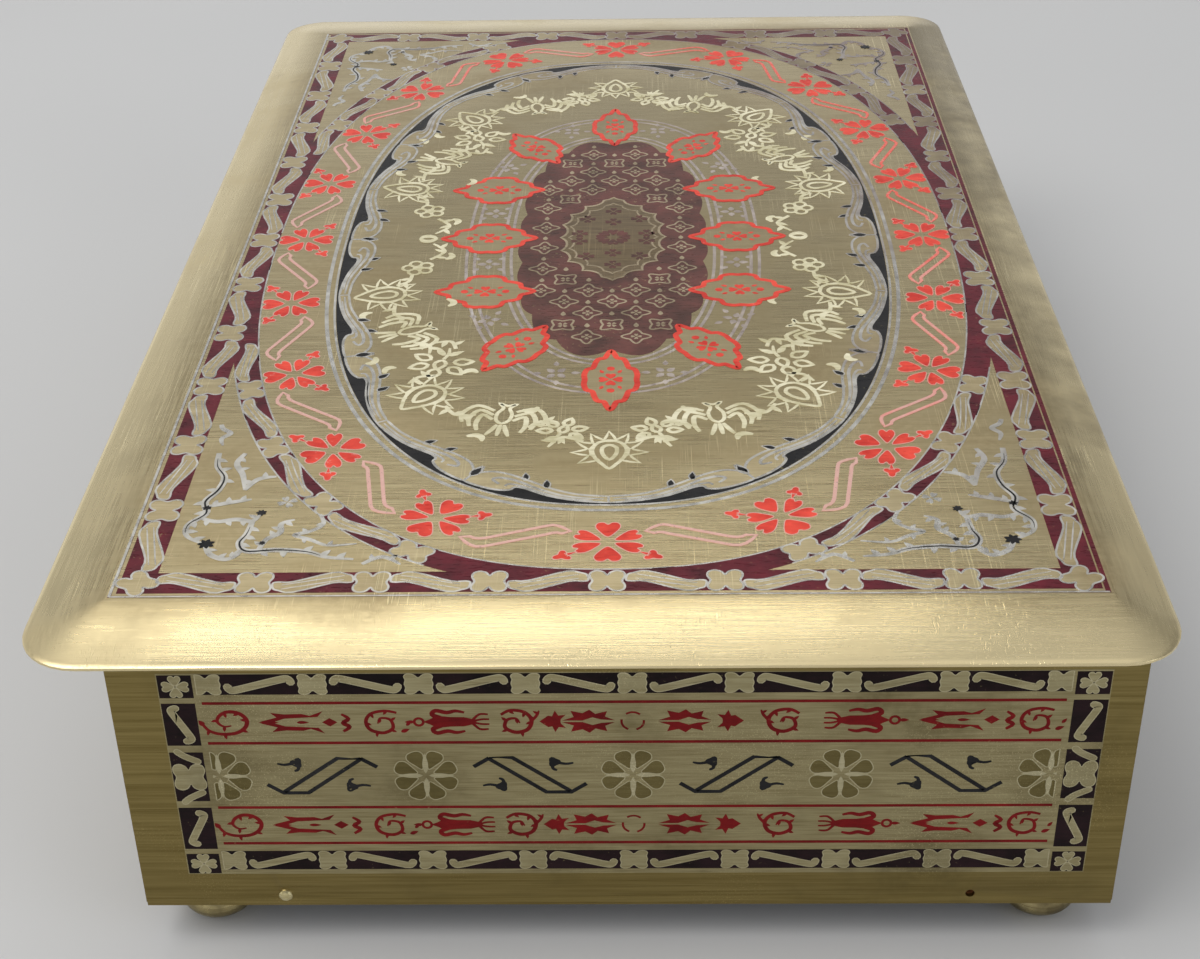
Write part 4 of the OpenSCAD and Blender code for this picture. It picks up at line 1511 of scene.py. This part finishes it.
def build_plates_ornament():
    """The four plates' patterns. The front's is a little to the right of its middle."""
    front_shift = 0.8 * MM
    up = (0, 0, 1)
    short, long = (Plate.short_half, Plate.short_pitches), (Plate.long_half, Plate.long_pitches)
    sides = (("front", (centre_x + front_shift, front_y, low_z), (1, 0, 0), short),
             ("back", (centre_x, back_y, low_z), (-1, 0, 0), short),
             ("left", (left_x, 0, low_z), (0, -1, 0), long),
             ("right", (right_x, 0, low_z), (0, 1, 0), long))
    for name, middle, across, measures in sides:
        build_plate_ornament(name, Face(middle, across, up), *measures)


def build_solids():
    build_lid_sheet()
    build_feet()
    build_felt()
    woods = [cedar(f"cedar_{axis}", k) for k, axis in enumerate("xyz")]
    for name in PLATES:
        lengthways = 0 if name in ("front", "back") else 1
        softened(name + "_plate", 0.12, plate_brass_painted_shade, "box")
        softened(name + "_wall", 0.3, woods[lengthways], "box")
    softened("base_board", 0.3, woods[1], "box")
    softened("lid_board", 0.4, woods[1], "lid")
    for side in ("left", "right"):
        softened(side + "_hinge_box_leaf", 0.08, nail_brass, "box")
        softened(side + "_hinge_lid_leaf", 0.08, nail_brass, "lid")
    for node in ("cladding_nails", "hinge_leaf_nails", "lid_leaf_nails", "foot_studs", "left_hinge_pin",
                 "right_hinge_pin"):
        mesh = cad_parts[node].data
        mesh.materials.clear()
        mesh.materials.append(nail_brass)


build_solids()
build_lid_ornament()
build_plates_ornament()


# ---------------------------------------------------------------- floor, lights and camera

def area_light(name, place, aim, size, power, colour=(1, 1, 1)):
    light = bpy.data.lights.new(name, "AREA")
    light.shape = "RECTANGLE"
    light.size, light.size_y = size
    light.energy = power
    light.color = colour
    lamp = bpy.data.objects.new(name, light)
    lamp.location = place
    lamp.rotation_euler = (Vector(aim) - Vector(place)).to_track_quat("-Z", "Y").to_euler()
    bpy.context.scene.collection.objects.link(lamp)


def build_world():
    """Soft light from all round, stepped by height and dimmer on the right."""
    world = bpy.data.worlds.new("soft_room")
    bpy.context.scene.world = world
    world.use_nodes = True
    tree = world.node_tree
    height = tree.nodes.new("ShaderNodeSeparateXYZ")
    tree.links.new(tree.nodes.new("ShaderNodeTexCoord").outputs["Generated"], height.inputs[0])
    ramp = tree.nodes.new("ShaderNodeValToRGB")
    ramp.color_ramp.interpolation = "EASE"
    for place, level in ((0.0, 1.0), (0.25, 0.85), (0.42, 0.42), (0.62, 0.40), (0.82, 0.72), (1.0, 0.6)):
        stop = ramp.color_ramp.elements.new(place)
        stop.color = (0.97 * level, 0.98 * level, level, 1)
    ramp.color_ramp.elements.remove(ramp.color_ramp.elements[0])
    tree.links.new(height.outputs["Z"], ramp.inputs["Fac"])
    dim = tree.nodes.new("ShaderNodeMapRange")
    for socket, number in (("From Min", -0.1), ("From Max", 0.6), ("To Min", 0.95), ("To Max", 0.66)):
        dim.inputs[socket].default_value = number
    tree.links.new(height.outputs["X"], dim.inputs["Value"])
    sky = tree.nodes["Background"]
    tree.links.new(ramp.outputs["Color"], sky.inputs["Color"])
    tree.links.new(dim.outputs["Result"], sky.inputs["Strength"])


def build_studio():
    reach = 6.0
    floor_mesh = bpy.data.meshes.new("floor")
    corners = ((-reach, -reach, 0), (reach, -reach, 0), (reach, reach, 0), (-reach, reach, 0))
    floor_mesh.from_pydata(corners, [], [(0, 1, 2, 3)])
    floor_mesh.materials.append(plain_floor("pale_floor"))
    floor = bpy.data.objects.new("floor", floor_mesh)
    bpy.context.scene.collection.objects.link(floor)
    build_world()
    middle = (0, 0, 0.03)
    area_light("softbox_behind", (-0.10, 0.62, 0.80), middle, (0.6, 0.10), 0.75, (1.0, 0.97, 0.9))
    area_light("key_above", (-0.55, -0.35, 0.95), middle, (0.7, 0.7), 5.0, (1.0, 0.97, 0.92))
    area_light("fill_right", (0.8, -0.6, 0.5), middle, (0.6, 0.6), 1.5, (0.93, 0.96, 1.0))


class View:
    """The camera: its place from the middle of the box's underside in m, angles in degrees, lens in mm."""
    place = (0.0015, -0.2457, 0.15142)
    pitch, yaw, roll = 31.931, 1.312, -1.072
    lens, sensor = 58.63, 36.0


def build_camera():
    pitch, yaw, roll = (math.radians(a) for a in (View.pitch, View.yaw, View.roll))
    level = Matrix(((1, 0, 0), (0, 0, -1), (0, 1, 0)))
    tilt = Matrix(((1, 0, 0), (0, math.cos(pitch), -math.sin(pitch)), (0, math.sin(pitch), math.cos(pitch))))
    turn = Matrix(((math.cos(yaw), math.sin(yaw), 0), (-math.sin(yaw), math.cos(yaw), 0), (0, 0, 1)))
    lean = Matrix(((math.cos(roll), -math.sin(roll), 0), (math.sin(roll), math.cos(roll), 0), (0, 0, 1)))
    right, down, forward = lean @ tilt @ level @ turn
    camera = bpy.data.objects.new("camera", bpy.data.cameras.new("camera"))
    camera.data.lens, camera.data.sensor_width = View.lens, View.sensor
    camera.data.clip_start = 0.01
    place = Vector((centre_x, 0, low_z)) + Vector(View.place)
    axes = Matrix((right, -down, -forward)).transposed().to_4x4()
    camera.matrix_world = Matrix.Translation(place) @ axes
    bpy.context.scene.collection.objects.link(camera)
    bpy.context.scene.camera = camera


build_studio()
build_camera()
bpy.context.scene.view_settings.view_transform = "Standard"
